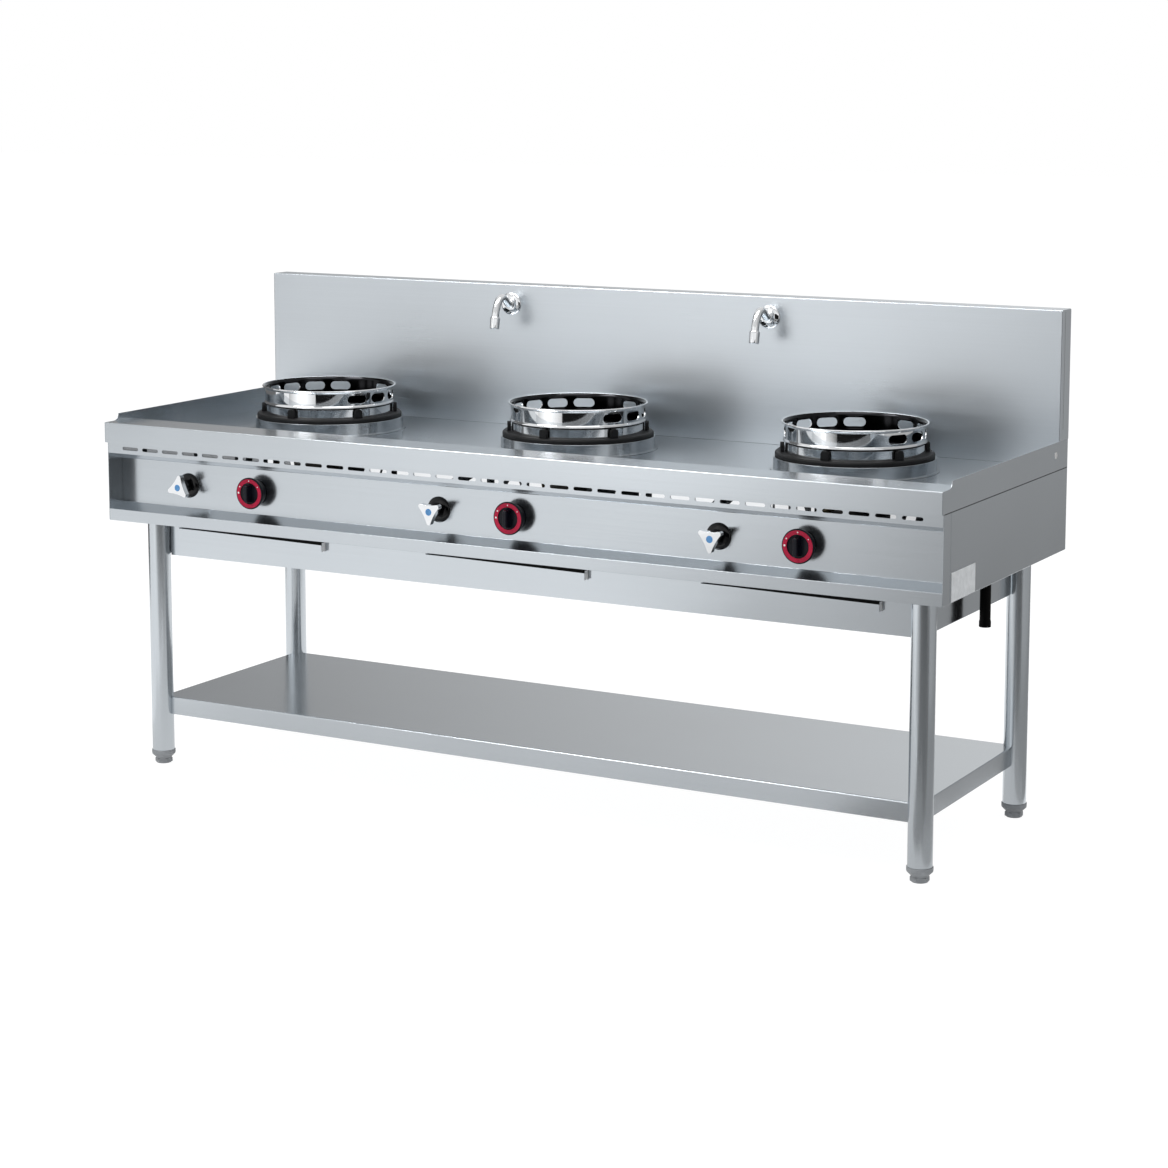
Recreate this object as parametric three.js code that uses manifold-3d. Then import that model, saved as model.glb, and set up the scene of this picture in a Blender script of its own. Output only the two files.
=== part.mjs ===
// Wok range: three gas burners in a recessed stainless steel worktop on a four-legged
// stand, with a water tap for each burner, two wall spouts, drip trays and a shelf.
// Millimetres, +Z up, front towards -Y. Origin: centre of the footprint, on the floor.

import * as THREE from 'three';
import { mergeVertices } from 'three/addons/utils/BufferGeometryUtils.js';
import Module from 'manifold-3d';

// ---- Driving dimensions -------------------------------------------------------------

// Sheet metal and fits
const SHEET = 1.5; // stainless sheet
const SEAT_GAP = 0.3; // between a piece and what it sits on or fits in
const WELD = 0.5; // how far joined sheets of one piece run into each other
const CUT = 1; // how far a cutter runs past the face it opens

// Overall
const WIDTH = 2000;
const DEPTH = 700;
const RIM_Z = 790; // front rim of the worktop
const SPLASH_H = 289; // splashback above the rim
const BODY_H = 222; // rim above the body's bottom

// Worktop
const FASCIA_H = 45;
const RIM_DEPTH = 90;
const BASIN_DROP = 37; // basin floor below the rim
const UPSTAND_RISE = 15; // side upstands above the rim
const UPSTAND_SETBACK = 33;
const UPSTAND_CURVE = 15; // length of the sweep at each upstand's front
const SPLASH_DEPTH = 50;

// Burner places, repeated along X
const MODULES = 3;
const MODULE_LEFT = 328; // first burner from the left end
const MODULE_RIGHT = 358; // last burner from the right end
const BURNER_Y = 57;
const FLAME_HOLE_R = 150;

// Collar round each flame hole
const COLLAR_R = 169;
const COLLAR_H = 27;
const COLLAR_WALL = 2;
const COLLAR_FOOT = 7; // width of the foot flange

// Cast-iron pan support
const SUPPORT_R = 166;
const SUPPORT_T = 10;
const SUPPORT_BORE_R = 118;
const SUPPORT_CHAMFER = 3;
const LUGS = 6;
const LUG_W = 18;
const LUG_H = 20;
const LUG_T = 8;
const LUG_FIT = 1.5; // between the ring and the lugs round it

// Wok ring
const RING_BAND_R = 145; // outside of the lower band
const RING_SHEET = 2.5;
const RING_BAND_H = 20;
const RING_BEAD = 4.5; // how far the bead stands out of the lower band
const RING_BEAD_H = 7;
const RING_STEP = 2; // upper wall outside the lower band
const RING_WALL_H = 30;
const RING_RIM = 8.5; // how far the rolled rim stands out of the lower band
const RING_RIM_H = 6;
const RING_HOLE_W = 47;
const RING_HOLE_H = 19;
const RING_PLACES = 15; // equal places round the ring; those listed next have a hole
const RING_HOLES = [1, 2, 3, 4, 5, 10, 11, 12, 13, 14]; // counted from the rear centre

// Front: slotted strip, recessed control panel and bottom lip
const BODY_SETBACK = 9; // body behind the worktop's fascia
const SIDE_STEP = 1; // body inside the worktop's sides
const STRIP_H = 24;
const RECESS = 48;
const SOFFIT_DROP = 17;
const LEDGE_DROP = 10;
const LIP_H = 26;
const PANEL_HOLE_FIT = 3; // round each gas spindle
const RETURN_DEPTH = 36; // front piece's return round each side
const SLOT_W = 44.6;
const SLOT_H = 7.5;
const SLOT_PITCH = 56.8;
const SLOT_MARGIN = 60; // middle of the end slots from the strip's ends

// Legs and feet
const LEG_R = 25;
const LEG_WALL = 1.5;
const LEG_TOP_PLATE = 3;
const LEG_PLUG_H = 14;
const LEG_INSET_X = 73;
const LEG_FRONT_INSET = 95;
const LEG_REAR_INSET = 80;
const FOOT_H = 31;
const FOOT_COLLAR_R = 27;
const FOOT_PAD_R = 17.5;
const FOOT_PAD_H = 13;
const FOOT_STEM_R = 6;
const FOOT_STEM_H = 26;
const BORE_FIT = 0.3; // radial clearance of a stem in its bore

// Chassis frame inside the body
const RAIL_H = 25;
const RAIL_SHEET = 2;
const RAIL_MARGIN = 8; // rail past the leg it carries
const RAIL_INNER = 5;
const CROSS_BAR_W = 44;
const FLANGE_LAP = 6; // panel flanges under the chassis
const SIDE_FLANGE = 35;

// Drip housing, trays and runners
const HOUSING_SETBACK = 94; // housing behind the body's front
const HOUSING_DROP = 86; // housing below the body
const HOUSING_INSET = 80; // housing sides inside the worktop's sides
const LEG_CLEARANCE = 2;
const TRAY_W = 388;
const TRAY_SIDE_FIT = 2;
const TRAY_RISE = 48; // tray floor above the housing's bottom
const TRAY_SIDE_H = 26;
const TRAY_FRONT_H = 12;
const TRAY_REAR_ROOM = 12;
const TRAY_LIP_REACH = 14; // pull lip in front of the housing
const TRAY_LIP_DROP = 14;
const RUNNER_W = 20;
const RUNNER_T = 2;
const RUNNER_GUIDE_H = 12;

// Shelf
const SHELF_Z = 155;
const SHELF_EDGE = 40;

// Gas side
const KNOB_DX = 46; // knob from its burner, along X
const KNOB_R = 35;
const KNOB_BACK_R = 27;
const KNOB_FLARE = 2; // flange past the flared body
const KNOB_FLANGE_T = 6;
const KNOB_EDGE = 1;
const KNOB_FACE = 28; // knob's ring face in front of the panel
const KNOB_GRIP_W = 13;
const KNOB_GRIP_L = 40;
const KNOB_GRIP_H = 15;
const KNOB_PANEL_FIT = 1;
const SPINDLE_R = 4;
const SPINDLE_L = 16; // length inside the knob or handle
const GAS_BODY_W = 34;
const GAS_BODY_H = 36;
const GAS_NOSE_R = 11;
const GAS_NOSE_L = 6;
const GAS_MANIFOLD_R = 13;
const GAS_MANIFOLD_WALL = 2.5;
const GAS_MANIFOLD_SETBACK = 61; // manifold axis behind the control panel's face
const MANIFOLD_INSET = 70;
const GAS_TUBE_R = 5;
const GAS_TUBE_RISE = 50;
const INJECTOR = 20;

// Burner
const BURNER_DROP = 18; // burner's top below the basin floor
const BURNER_R = 62;
const BURNER_BOWL_H = 34;
const BURNER_DISH = 8;
const BURNER_POST_R = 20;
const BURNER_FOOT_R = 28;
const BURNER_FOOT_H = 6;
const MIXER_R = 21;
const MIXER_MOUTH_R = 27;
const MIXER_RISE = 14; // mixing tube above the controls
const MIXER_L = 165;
const MIXER_GAP = 3; // injector to mixing tube

// Water side
const TAP_DX = -139; // tap from its burner, along X
const TAP_ROSETTE_R = 27.5;
const TAP_ROSETTE_T = 8;
const ROSETTE_EDGE = 2; // height of a rosette's straight edge
const ROSETTE_SLOPE = 3; // width of its first slope
const TAP_BARREL_R = 11;
const TAP_BODY_W = 30;
const TAP_BODY_L = 40;
const TAP_HUB_R = 11;
const TAP_WAIST_R = 8.8; // how near the hollow sides come to the axis
const TAP_HANDLE_R = 28;
const TAP_HANDLE_T = 13;
const TAP_LOBES = 3;
const TAP_LOBE_TIP = 5; // radius of each lobe's tip
const TAP_FACE = 42; // handle's face in front of the panel
const TAP_TURNS = [40, -30, -30]; // how each handle stands, in degrees
const WATER_MANIFOLD_R = 9;
const WATER_MANIFOLD_DROP = 44; // below the controls
const WATER_NECK_R = 6;
const WATER_TUBE_R = 7.5;
const WATER_TUBE_RISE = 71; // level run above the controls
const WATER_TUBE_JOG = 51;
const WATER_RINSE_RISE = 12; // open end above the basin floor

// Spouts on the splashback
const SPOUT_DROP = 45; // spouts below the splashback's top
const SPOUT_R = 9;
const SPOUT_STUB = 8; // straight part at the rosette
const SPOUT_STEPS = 9;
const SPOUT_LINE = [[-27, 10], [-41, 15], [-56, 9], [-67, -8], [-72, -26]]; // Y and Z
const ROSETTE_R = 26;
const ROSETTE_T = 7;
const ROSETTE_LAP = 1; // rosette's top past the pipe
const AERATOR_R = 13;
const AERATOR_L = 27;
const AERATOR_WALL = 3;
const AERATOR_DISH = 5;
const AERATOR_LAP = 2; // aerator over the neck's end
const AERATOR_LEAN = 9; // degrees

// Drain
const DRAIN_INSET = 50; // from the right end
const DRAIN_Y = 14;
const DRAIN_R = 12.5;
const DRAIN_WALL = 2.5;
const DRAIN_REACH = 108; // pipe below the body
const STRAINER_R = 24;
const STRAINER_HOLE_R = 2.2;
const STRAINER_HOLES = 6;
const STRAINER_RING_R = 6; // circle that the holes lie on
const STRAINER_COLLAR_L = 12;

// Sides of round pieces
const ROUND = 30;
const ROUND_MEDIUM = 20;
const ROUND_SMALL = 12;
const ROUND_PIPE = 8;
const ROUND_FINE = 6;
const SLOT_END = 3; // straight steps round each end of a slot

// ---- Places worked out from them ----------------------------------------------------

const HALF_W = WIDTH / 2;
const FRONT_Y = -DEPTH / 2;
const REAR_Y = DEPTH / 2;
const SPLASH_TOP_Z = RIM_Z + SPLASH_H;
const BODY_BOTTOM_Z = RIM_Z - BODY_H;
const FASCIA_BOTTOM_Z = RIM_Z - FASCIA_H;
const BASIN_Z = RIM_Z - BASIN_DROP;
const RIM_REAR_Y = FRONT_Y + RIM_DEPTH;
const UPSTAND_TOP_Z = RIM_Z + UPSTAND_RISE;
const SPLASH_Y = REAR_Y - SPLASH_DEPTH;
const INNER_HALF_W = HALF_W - SHEET - SEAT_GAP;

const BODY_Y = FRONT_Y + BODY_SETBACK;
const BODY_HALF_W = HALF_W - SIDE_STEP;
const BODY_INNER_W = BODY_HALF_W - SHEET - SEAT_GAP;
const SLOTS = 1 + Math.round((2 * (BODY_INNER_W - SLOT_MARGIN)) / SLOT_PITCH);
const BODY_TOP_Z = FASCIA_BOTTOM_Z - SEAT_GAP;
const STRIP_BOTTOM_Z = FASCIA_BOTTOM_Z - STRIP_H;
const PANEL_TOP_Z = STRIP_BOTTOM_Z - SOFFIT_DROP;
const LIP_TOP_Z = BODY_BOTTOM_Z + LIP_H;
const PANEL_BOTTOM_Z = LIP_TOP_Z + LEDGE_DROP;
const PANEL_Y = BODY_Y + RECESS;
const CONTROL_Z = (PANEL_TOP_Z + PANEL_BOTTOM_Z) / 2;
const REAR_FACE_Y = REAR_Y - SHEET;

const LEG_X = HALF_W - LEG_INSET_X;
const LEG_FRONT_Y = FRONT_Y + LEG_FRONT_INSET;
const LEG_REAR_Y = REAR_Y - LEG_REAR_INSET;
const CHASSIS_Z = BODY_BOTTOM_Z + SHEET;
const CHASSIS_TOP_Z = CHASSIS_Z + RAIL_H;
const LEG_TOP_Z = CHASSIS_Z - SEAT_GAP;
const CHASSIS_FRONT_Y = LEG_FRONT_Y - LEG_R - RAIL_MARGIN;
const CHASSIS_REAR_Y = LEG_REAR_Y + LEG_R + RAIL_MARGIN;
const CHASSIS_HALF_W = LEG_X + LEG_R + RAIL_MARGIN;
const FRONT_FLANGE_Y = CHASSIS_FRONT_Y + FLANGE_LAP;
const REAR_FLANGE_Y = CHASSIS_REAR_Y - FLANGE_LAP;

const HOUSING_Y = BODY_Y + HOUSING_SETBACK;
const HOUSING_REAR_Y = LEG_REAR_Y - LEG_R - LEG_CLEARANCE;
const HOUSING_HALF_W = HALF_W - HOUSING_INSET;
const HOUSING_TOP_Z = CHASSIS_Z - SEAT_GAP;
const HOUSING_BOTTOM_Z = BODY_BOTTOM_Z - HOUSING_DROP;
const APRON_HALF_W = LEG_X - LEG_R - LEG_CLEARANCE;
const TRAY_FLOOR_Z = HOUSING_BOTTOM_Z + TRAY_RISE;
const TRAY_SLOT_Z = TRAY_FLOOR_Z - TRAY_SIDE_FIT;
const TRAY_Y = HOUSING_Y + SHEET + TRAY_SIDE_FIT / 2;
const TRAY_REAR_Y = HOUSING_REAR_Y - SHEET - TRAY_REAR_ROOM;
const RUNNER_Z = TRAY_FLOOR_Z - SEAT_GAP;

const BURNER_TOP_Z = BASIN_Z - BURNER_DROP;
const MIXER_Z = CONTROL_Z + MIXER_RISE;
const WATER_MANIFOLD_Z = CONTROL_Z - WATER_MANIFOLD_DROP;
const WATER_TUBE_Z = CONTROL_Z + WATER_TUBE_RISE;
const WATER_RINSE_Z = BASIN_Z + WATER_RINSE_RISE;
const DRAIN_X = HALF_W - DRAIN_INSET;
const DRAIN_END_Z = BODY_BOTTOM_Z - DRAIN_REACH;

const MANIFOLD_HALF_W = HALF_W - MANIFOLD_INSET;
const GAS_MANIFOLD_Y = PANEL_Y + GAS_MANIFOLD_SETBACK;
const INJECTOR_REAR_Y = BURNER_Y - MIXER_L - MIXER_GAP;
const GAS_BODY_Y = GAS_MANIFOLD_Y - GAS_MANIFOLD_R - SEAT_GAP;
const GAS_BODY_FRONT_Y = PANEL_Y + SHEET + SEAT_GAP + GAS_NOSE_L;
const TAP_BODY_FRONT_Y = PANEL_Y + SHEET + SEAT_GAP;
const TAP_BODY_Y = TAP_BODY_FRONT_Y + TAP_BODY_L / 2;
const WATER_TUBE_START_Z = CONTROL_Z + TAP_BODY_W / 2 + SEAT_GAP;
const RISER_Y = (SPLASH_Y + SHEET + REAR_FACE_Y) / 2;

const FIRST_X = -HALF_W + MODULE_LEFT;
const MODULE_PITCH = (HALF_W - MODULE_RIGHT - FIRST_X) / (MODULES - 1);
const MODULE_X = Array.from({ length: MODULES }, (_, i) => FIRST_X + i * MODULE_PITCH);
const SPOUT_X = MODULE_PITCH / 2;
const SPOUT_Z = SPLASH_TOP_Z - SPOUT_DROP;

// ---- Finishes -----------------------------------------------------------------------

const finish = (color, roughness, metalness) =>
  new THREE.MeshStandardMaterial({ color, roughness, metalness });

const BRUSHED = finish(0xc3c8cd, 0.35, 1);
const BRIGHT = finish(0xd6dade, 0.18, 1);
const GALVANISED = finish(0x9aa0a5, 0.5, 1);
const CHROME = finish(0xe4e7ea, 0.06, 1);
const CAST_IRON = finish(0x1b1c1e, 0.7, 0.4);
const BLACK_PLASTIC = finish(0x101114, 0.35, 0);
const BRASS = finish(0xb8965a, 0.35, 1);
const FOOT_GREY = finish(0x6f7478, 0.45, 0.6);
const COPPER_TUBE = finish(0xb0b4b8, 0.3, 1);

// ---- Solids: closed geometries, and joins and cuts of them --------------------------

const wasm = await Module();
wasm.setup();

/** Turns a closed three.js geometry into a solid that can be joined or cut. */
function solid(geometry) {
  const bare = geometry.clone();
  bare.deleteAttribute('normal');
  bare.deleteAttribute('uv');
  const merged = mergeVertices(bare, 1e-4);
  const corners = merged.index.array;
  const faces = [];
  for (let i = 0; i < corners.length; i += 3) {
    const [a, b, c] = [corners[i], corners[i + 1], corners[i + 2]];
    if (a !== b && b !== c && c !== a) faces.push(a, b, c);
  }
  return new wasm.Manifold(new wasm.Mesh({
    numProp: 3,
    vertProperties: new Float32Array(merged.attributes.position.array),
    triVerts: new Uint32Array(faces),
  }));
}

const joined = (first, ...others) => others.reduce((sum, other) => sum.add(other), first);
const cut = (first, ...others) => others.reduce((rest, other) => rest.subtract(other), first);

/** Makes the named mesh of a solid. */
function piece(name, body, material) {
  const { vertProperties, triVerts } = body.getMesh();
  const geometry = new THREE.BufferGeometry();
  geometry.setAttribute('position', new THREE.BufferAttribute(vertProperties, 3));
  geometry.setIndex(new THREE.BufferAttribute(triVerts, 1));
  geometry.computeVertexNormals();
  const mesh = new THREE.Mesh(geometry, material);
  mesh.name = name;
  return mesh;
}

/** Box between two corners. */
function block([x0, x1], [y0, y1], [z0, z1]) {
  const box = new THREE.BoxGeometry(x1 - x0, y1 - y0, z1 - z0);
  return solid(box.translate((x0 + x1) / 2, (y0 + y1) / 2, (z0 + z1) / 2));
}

const shapeOf = (points) => new THREE.Shape(points.map(([u, v]) => new THREE.Vector2(u, v)));

/** Extrudes a shape by depth, then turns its U, V and depth onto three row axes. */
function extruded(shape, depth, u, v, w, holes = []) {
  shape.holes.push(...holes);
  const geometry = new THREE.ExtrudeGeometry(shape, {
    depth, bevelEnabled: false, curveSegments: 4,
  });
  const axis = ([x, y, z]) => new THREE.Vector3(x, y, z);
  return geometry.applyMatrix4(new THREE.Matrix4().makeBasis(axis(u), axis(v), axis(w)));
}

/** Shape in Y and Z, extruded from x0 to x1. */
const alongX = (shape, x0, x1) =>
  solid(extruded(shape, x1 - x0, [0, 1, 0], [0, 0, 1], [1, 0, 0]).translate(x0, 0, 0));

/** Shape in X and Z, extruded from y0 to y1. */
const alongY = (shape, y0, y1, holes) =>
  solid(extruded(shape, y1 - y0, [1, 0, 0], [0, 0, 1], [0, -1, 0], holes).translate(0, y1, 0));

/** Shape in X and Y, extruded from z0 to z1. */
const alongZ = (shape, z0, z1, holes) =>
  solid(extruded(shape, z1 - z0, [1, 0, 0], [0, 1, 0], [0, 0, 1], holes).translate(0, 0, z0));

/** Revolves a closed [radius, height] profile round Z. */
function lathe(profile, sides) {
  const last = profile.length - 1;
  const area = profile.reduce((sum, [r, h], i) => {
    const [nextR, nextH] = profile[i === last ? 0 : i + 1];
    return sum + (r * nextH - nextR * h) / 2;
  }, 0);
  const path = area > 0 ? profile : [...profile].reverse();
  const closed = [...path, path[0]].map(([r, h]) => new THREE.Vector2(r, h));
  return new THREE.LatheGeometry(closed, sides).rotateX(Math.PI / 2);
}

/** The same round an axis that points to -Y, for pieces that face the front. */
const latheToFront = (profile, sides) => lathe(profile, sides).rotateX(Math.PI / 2);

/** Round bar along Z. */
const rodZ = (r, z0, z1, x = 0, y = 0, sides = ROUND_SMALL) =>
  solid(lathe([[0, z0], [r, z0], [r, z1], [0, z1]], sides).translate(x, y, 0));

/** Round bar along Y, with y0 the front end. */
const rodY = (r, y0, y1, x = 0, z = 0, sides = ROUND_SMALL) =>
  solid(latheToFront([[0, -y1], [r, -y1], [r, -y0], [0, -y0]], sides).translate(x, 0, z));

/** Pipe or bar of round section along a list of points, with rounded corners. */
function bentRod(points, radius, sides, corner) {
  const path = new THREE.CurvePath();
  const at = points.map(([x, y, z]) => new THREE.Vector3(x, y, z));
  let start = at[0];
  for (let i = 1; i < at.length - 1; i += 1) {
    const before = at[i].clone().sub(at[i - 1]).setLength(corner);
    const after = at[i + 1].clone().sub(at[i]).setLength(corner);
    const enter = at[i].clone().sub(before);
    const leave = at[i].clone().add(after);
    path.add(new THREE.LineCurve3(start, enter));
    path.add(new THREE.QuadraticBezierCurve3(enter, at[i], leave));
    start = leave;
  }
  path.add(new THREE.LineCurve3(start, at[at.length - 1]));
  const stations = path.curves.flatMap((curve, i) => {
    const steps = curve.isLineCurve3 ? [0] : [0, 0.5];
    return i === path.curves.length - 1 ? [curve.getPoint(0), curve.getPoint(1)]
      : steps.map((t) => curve.getPoint(t));
  });
  return sweep(stations, radius, sides);
}

/** Path that is sampled only at its stations, and turns halfway at each of them. */
class StationPath extends THREE.Curve {
  constructor(stations) {
    super();
    this.stations = stations;
  }

  indexAt(t) {
    return Math.round(t * (this.stations.length - 1));
  }

  getPointAt(t) {
    return this.stations[this.indexAt(t)].clone();
  }

  getTangentAt(t) {
    const i = this.indexAt(t);
    const before = this.stations[Math.max(i - 1, 0)];
    const after = this.stations[Math.min(i + 1, this.stations.length - 1)];
    return after.clone().sub(before).normalize();
  }
}

/** Solid of round section through the given stations, mitred at each of them. */
function sweep(stations, radius, sides) {
  const section = shapeOf(Array.from({ length: sides }, (_, i) => {
    const turn = (2 * Math.PI * i) / sides;
    return [radius * Math.cos(turn), radius * Math.sin(turn)];
  }));
  return solid(new THREE.ExtrudeGeometry(section, {
    steps: stations.length - 1, extrudePath: new StationPath(stations),
  }));
}

/** Outline of a bent sheet: the open line of its outer face, and its inner face. */
function foldedSheet(line, thickness) {
  const normals = line.slice(1).map(([u, v], i) => {
    const [du, dv] = [u - line[i][0], v - line[i][1]];
    const length = Math.hypot(du, dv);
    return [-dv / length, du / length];
  });
  const inner = line.map(([u, v], i) => {
    const before = normals[Math.max(i - 1, 0)];
    const after = normals[Math.min(i, normals.length - 1)];
    const [nu, nv] = [before[0] + after[0], before[1] + after[1]];
    const scale = (2 * thickness) / (nu * nu + nv * nv);
    return [u + nu * scale, v + nv * scale];
  });
  return shapeOf([...line, ...inner.reverse()]);
}

/** Slot outline with round ends, centred on u, v. */
function slotPath(u, v, width, height) {
  const reach = (width - height) / 2;
  const end = (side) => Array.from({ length: SLOT_END + 1 }, (_, i) => {
    const turn = Math.PI * (i / SLOT_END - 0.5);
    return [
      u + side * (reach + (height / 2) * Math.cos(turn)),
      v + side * (height / 2) * Math.sin(turn),
    ];
  });
  return shapeOf([...end(1), ...end(-1)]);
}

// ---- Worktop, splashback and body panels --------------------------------------------

function worktop() {
  const fold = foldedSheet([
    [REAR_FACE_Y - SEAT_GAP, BASIN_Z],
    [RIM_REAR_Y, BASIN_Z],
    [RIM_REAR_Y, RIM_Z],
    [FRONT_Y, RIM_Z],
    [FRONT_Y, FASCIA_BOTTOM_Z],
  ], SHEET);
  const sheet = alongX(fold, SHEET - WELD - HALF_W, HALF_W - SHEET + WELD);
  const left = alongX(sideOutline(), -HALF_W, -HALF_W + SHEET);
  const right = alongX(sideOutline(), HALF_W - SHEET, HALF_W);
  const [low, high] = [BASIN_Z - SHEET - CUT, BASIN_Z + CUT];
  const flameHoles = MODULE_X.map((x) => rodZ(FLAME_HOLE_R, low, high, x, BURNER_Y, ROUND));
  const tubeHoles = waterTubeEnds().map(([x]) =>
    rodZ(WATER_TUBE_R + CUT, low, high, x, RISER_Y));
  const drainHole = rodZ(DRAIN_R - DRAIN_WALL, low, high, DRAIN_X, DRAIN_Y);
  return cut(joined(sheet, left, right), ...flameHoles, ...tubeHoles, drainHole);
}

/** Outline of the worktop's side, with the sweep at the front of its upstand. */
function sideOutline() {
  const foot = FRONT_Y + UPSTAND_SETBACK;
  const outline = new THREE.Shape();
  outline.moveTo(FRONT_Y, FASCIA_BOTTOM_Z);
  outline.lineTo(REAR_Y, FASCIA_BOTTOM_Z);
  outline.lineTo(REAR_Y, UPSTAND_TOP_Z);
  outline.lineTo(foot + UPSTAND_CURVE, UPSTAND_TOP_Z);
  outline.quadraticCurveTo(foot + UPSTAND_CURVE / 2, RIM_Z + UPSTAND_RISE / 5, foot, RIM_Z);
  outline.lineTo(FRONT_Y, RIM_Z);
  return outline;
}

function splashback() {
  const base = UPSTAND_TOP_Z + SEAT_GAP;
  const box = block([-HALF_W, HALF_W], [SPLASH_Y, REAR_Y], [base, SPLASH_TOP_Z]);
  const hollow = block(
    [-HALF_W + SHEET, HALF_W - SHEET],
    [SPLASH_Y + SHEET, REAR_Y + CUT],
    [base - CUT, SPLASH_TOP_Z - SHEET],
  );
  const skirt = block(
    [-INNER_HALF_W, INNER_HALF_W],
    [SPLASH_Y, SPLASH_Y + SHEET],
    [BASIN_Z + SEAT_GAP, base + WELD],
  );
  const holes = [-SPOUT_X, SPOUT_X].map((x) =>
    rodY(WATER_TUBE_R + CUT, SPLASH_Y - CUT, SPLASH_Y + SHEET + CUT, x, SPOUT_Z));
  return cut(joined(cut(box, hollow), skirt), ...holes);
}

function ventStrip() {
  const [low, high] = [STRIP_BOTTOM_Z, RIM_Z - SHEET - SEAT_GAP];
  const plate = shapeOf([
    [-BODY_INNER_W, low], [BODY_INNER_W, low], [BODY_INNER_W, high], [-BODY_INNER_W, high],
  ]);
  const slots = Array.from({ length: SLOTS }, (_, i) =>
    slotPath((i - (SLOTS - 1) / 2) * SLOT_PITCH, low + STRIP_H / 2, SLOT_W, SLOT_H));
  return alongY(plate, BODY_Y, BODY_Y + SHEET, slots);
}

function controlPanel() {
  const fold = foldedSheet([
    [FRONT_FLANGE_Y, BODY_BOTTOM_Z],
    [BODY_Y, BODY_BOTTOM_Z],
    [BODY_Y, LIP_TOP_Z],
    [PANEL_Y, PANEL_BOTTOM_Z],
    [PANEL_Y, PANEL_TOP_Z],
    [BODY_Y, STRIP_BOTTOM_Z - SEAT_GAP],
  ].reverse(), SHEET);
  const sheet = alongX(fold, -BODY_INNER_W, BODY_INNER_W);
  const returns = [-1, 1].map((side) => {
    const span = [side * (BODY_INNER_W - WELD), side * BODY_HALF_W].sort((a, b) => a - b);
    return block(span, [BODY_Y, BODY_Y + RETURN_DEPTH], [BODY_BOTTOM_Z, BODY_TOP_Z]);
  });
  const stripRoom = block(
    [-BODY_INNER_W, BODY_INNER_W],
    [BODY_Y - CUT, BODY_Y + SHEET + SEAT_GAP],
    [STRIP_BOTTOM_Z - SEAT_GAP, BODY_TOP_Z + CUT],
  );
  const through = [PANEL_Y - CUT, PANEL_Y + SHEET + CUT];
  const holes = MODULE_X.flatMap((x) => [
    rodY(SPINDLE_R + PANEL_HOLE_FIT, ...through, x + KNOB_DX, CONTROL_Z),
    rodY(TAP_BARREL_R + CUT, ...through, x + TAP_DX, CONTROL_Z),
  ]);
  return cut(joined(sheet, ...returns), stripRoom, ...holes);
}

function sidePanel(side) {
  const span = (inner, outer) => [side * inner, side * outer].sort((a, b) => a - b);
  const wall = block(
    span(BODY_HALF_W - SHEET, BODY_HALF_W),
    [BODY_Y + RETURN_DEPTH + SEAT_GAP, REAR_Y],
    [BODY_BOTTOM_Z, BODY_TOP_Z],
  );
  const flange = block(
    span(BODY_HALF_W - SIDE_FLANGE, BODY_HALF_W - SHEET + WELD),
    [FRONT_FLANGE_Y + SEAT_GAP, REAR_FLANGE_Y - SEAT_GAP],
    [BODY_BOTTOM_Z, BODY_BOTTOM_Z + SHEET],
  );
  return joined(wall, flange);
}

function rearPanel() {
  const lower = block(
    [-BODY_INNER_W, BODY_INNER_W],
    [REAR_FACE_Y, REAR_Y],
    [BODY_BOTTOM_Z, SPLASH_TOP_Z - SHEET - SEAT_GAP],
  );
  const flange = block(
    [-BODY_INNER_W, BODY_INNER_W],
    [REAR_FLANGE_Y, REAR_FACE_Y + WELD],
    [BODY_BOTTOM_Z, BODY_BOTTOM_Z + SHEET],
  );
  return joined(lower, flange);
}

// ---- Chassis, legs, feet and shelf --------------------------------------------------

/** Rails and cross bars, drawn in from every side by an inset. */
function ladder(inset, [z0, z1]) {
  const endRail = (y0, y1) => block(
    [-CHASSIS_HALF_W + inset, CHASSIS_HALF_W - inset], [y0 + inset, y1 - inset], [z0, z1],
  );
  const bar = (x0, x1) => block([x0 + inset, x1 - inset], [LEG_FRONT_Y, LEG_REAR_Y], [z0, z1]);
  const frontInner = LEG_FRONT_Y + LEG_R + RAIL_INNER;
  const rearInner = LEG_REAR_Y - LEG_R - RAIL_INNER;
  const sideInner = LEG_X - LEG_R - RAIL_MARGIN;
  return joined(
    endRail(CHASSIS_FRONT_Y, frontInner),
    endRail(rearInner, CHASSIS_REAR_Y),
    bar(-LEG_X - RAIL_INNER, -sideInner),
    bar(sideInner, LEG_X + RAIL_INNER),
    ...MODULE_X.map((x) => bar(x - CROSS_BAR_W / 2, x + CROSS_BAR_W / 2)),
  );
}

function chassisFrame() {
  const whole = ladder(0, [CHASSIS_Z, CHASSIS_TOP_Z]);
  return cut(whole, ladder(RAIL_SHEET, [CHASSIS_Z + RAIL_SHEET, CHASSIS_TOP_Z + CUT]));
}

function leg() {
  const inner = LEG_R - LEG_WALL;
  const bore = FOOT_STEM_R + BORE_FIT;
  const profile = [
    [bore, FOOT_H], [LEG_R, FOOT_H], [LEG_R, LEG_TOP_Z], [0, LEG_TOP_Z],
    [0, LEG_TOP_Z - LEG_TOP_PLATE], [inner, LEG_TOP_Z - LEG_TOP_PLATE],
    [inner, FOOT_H + LEG_PLUG_H], [bore, FOOT_H + LEG_PLUG_H],
  ];
  return solid(lathe(profile, ROUND_MEDIUM));
}

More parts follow.
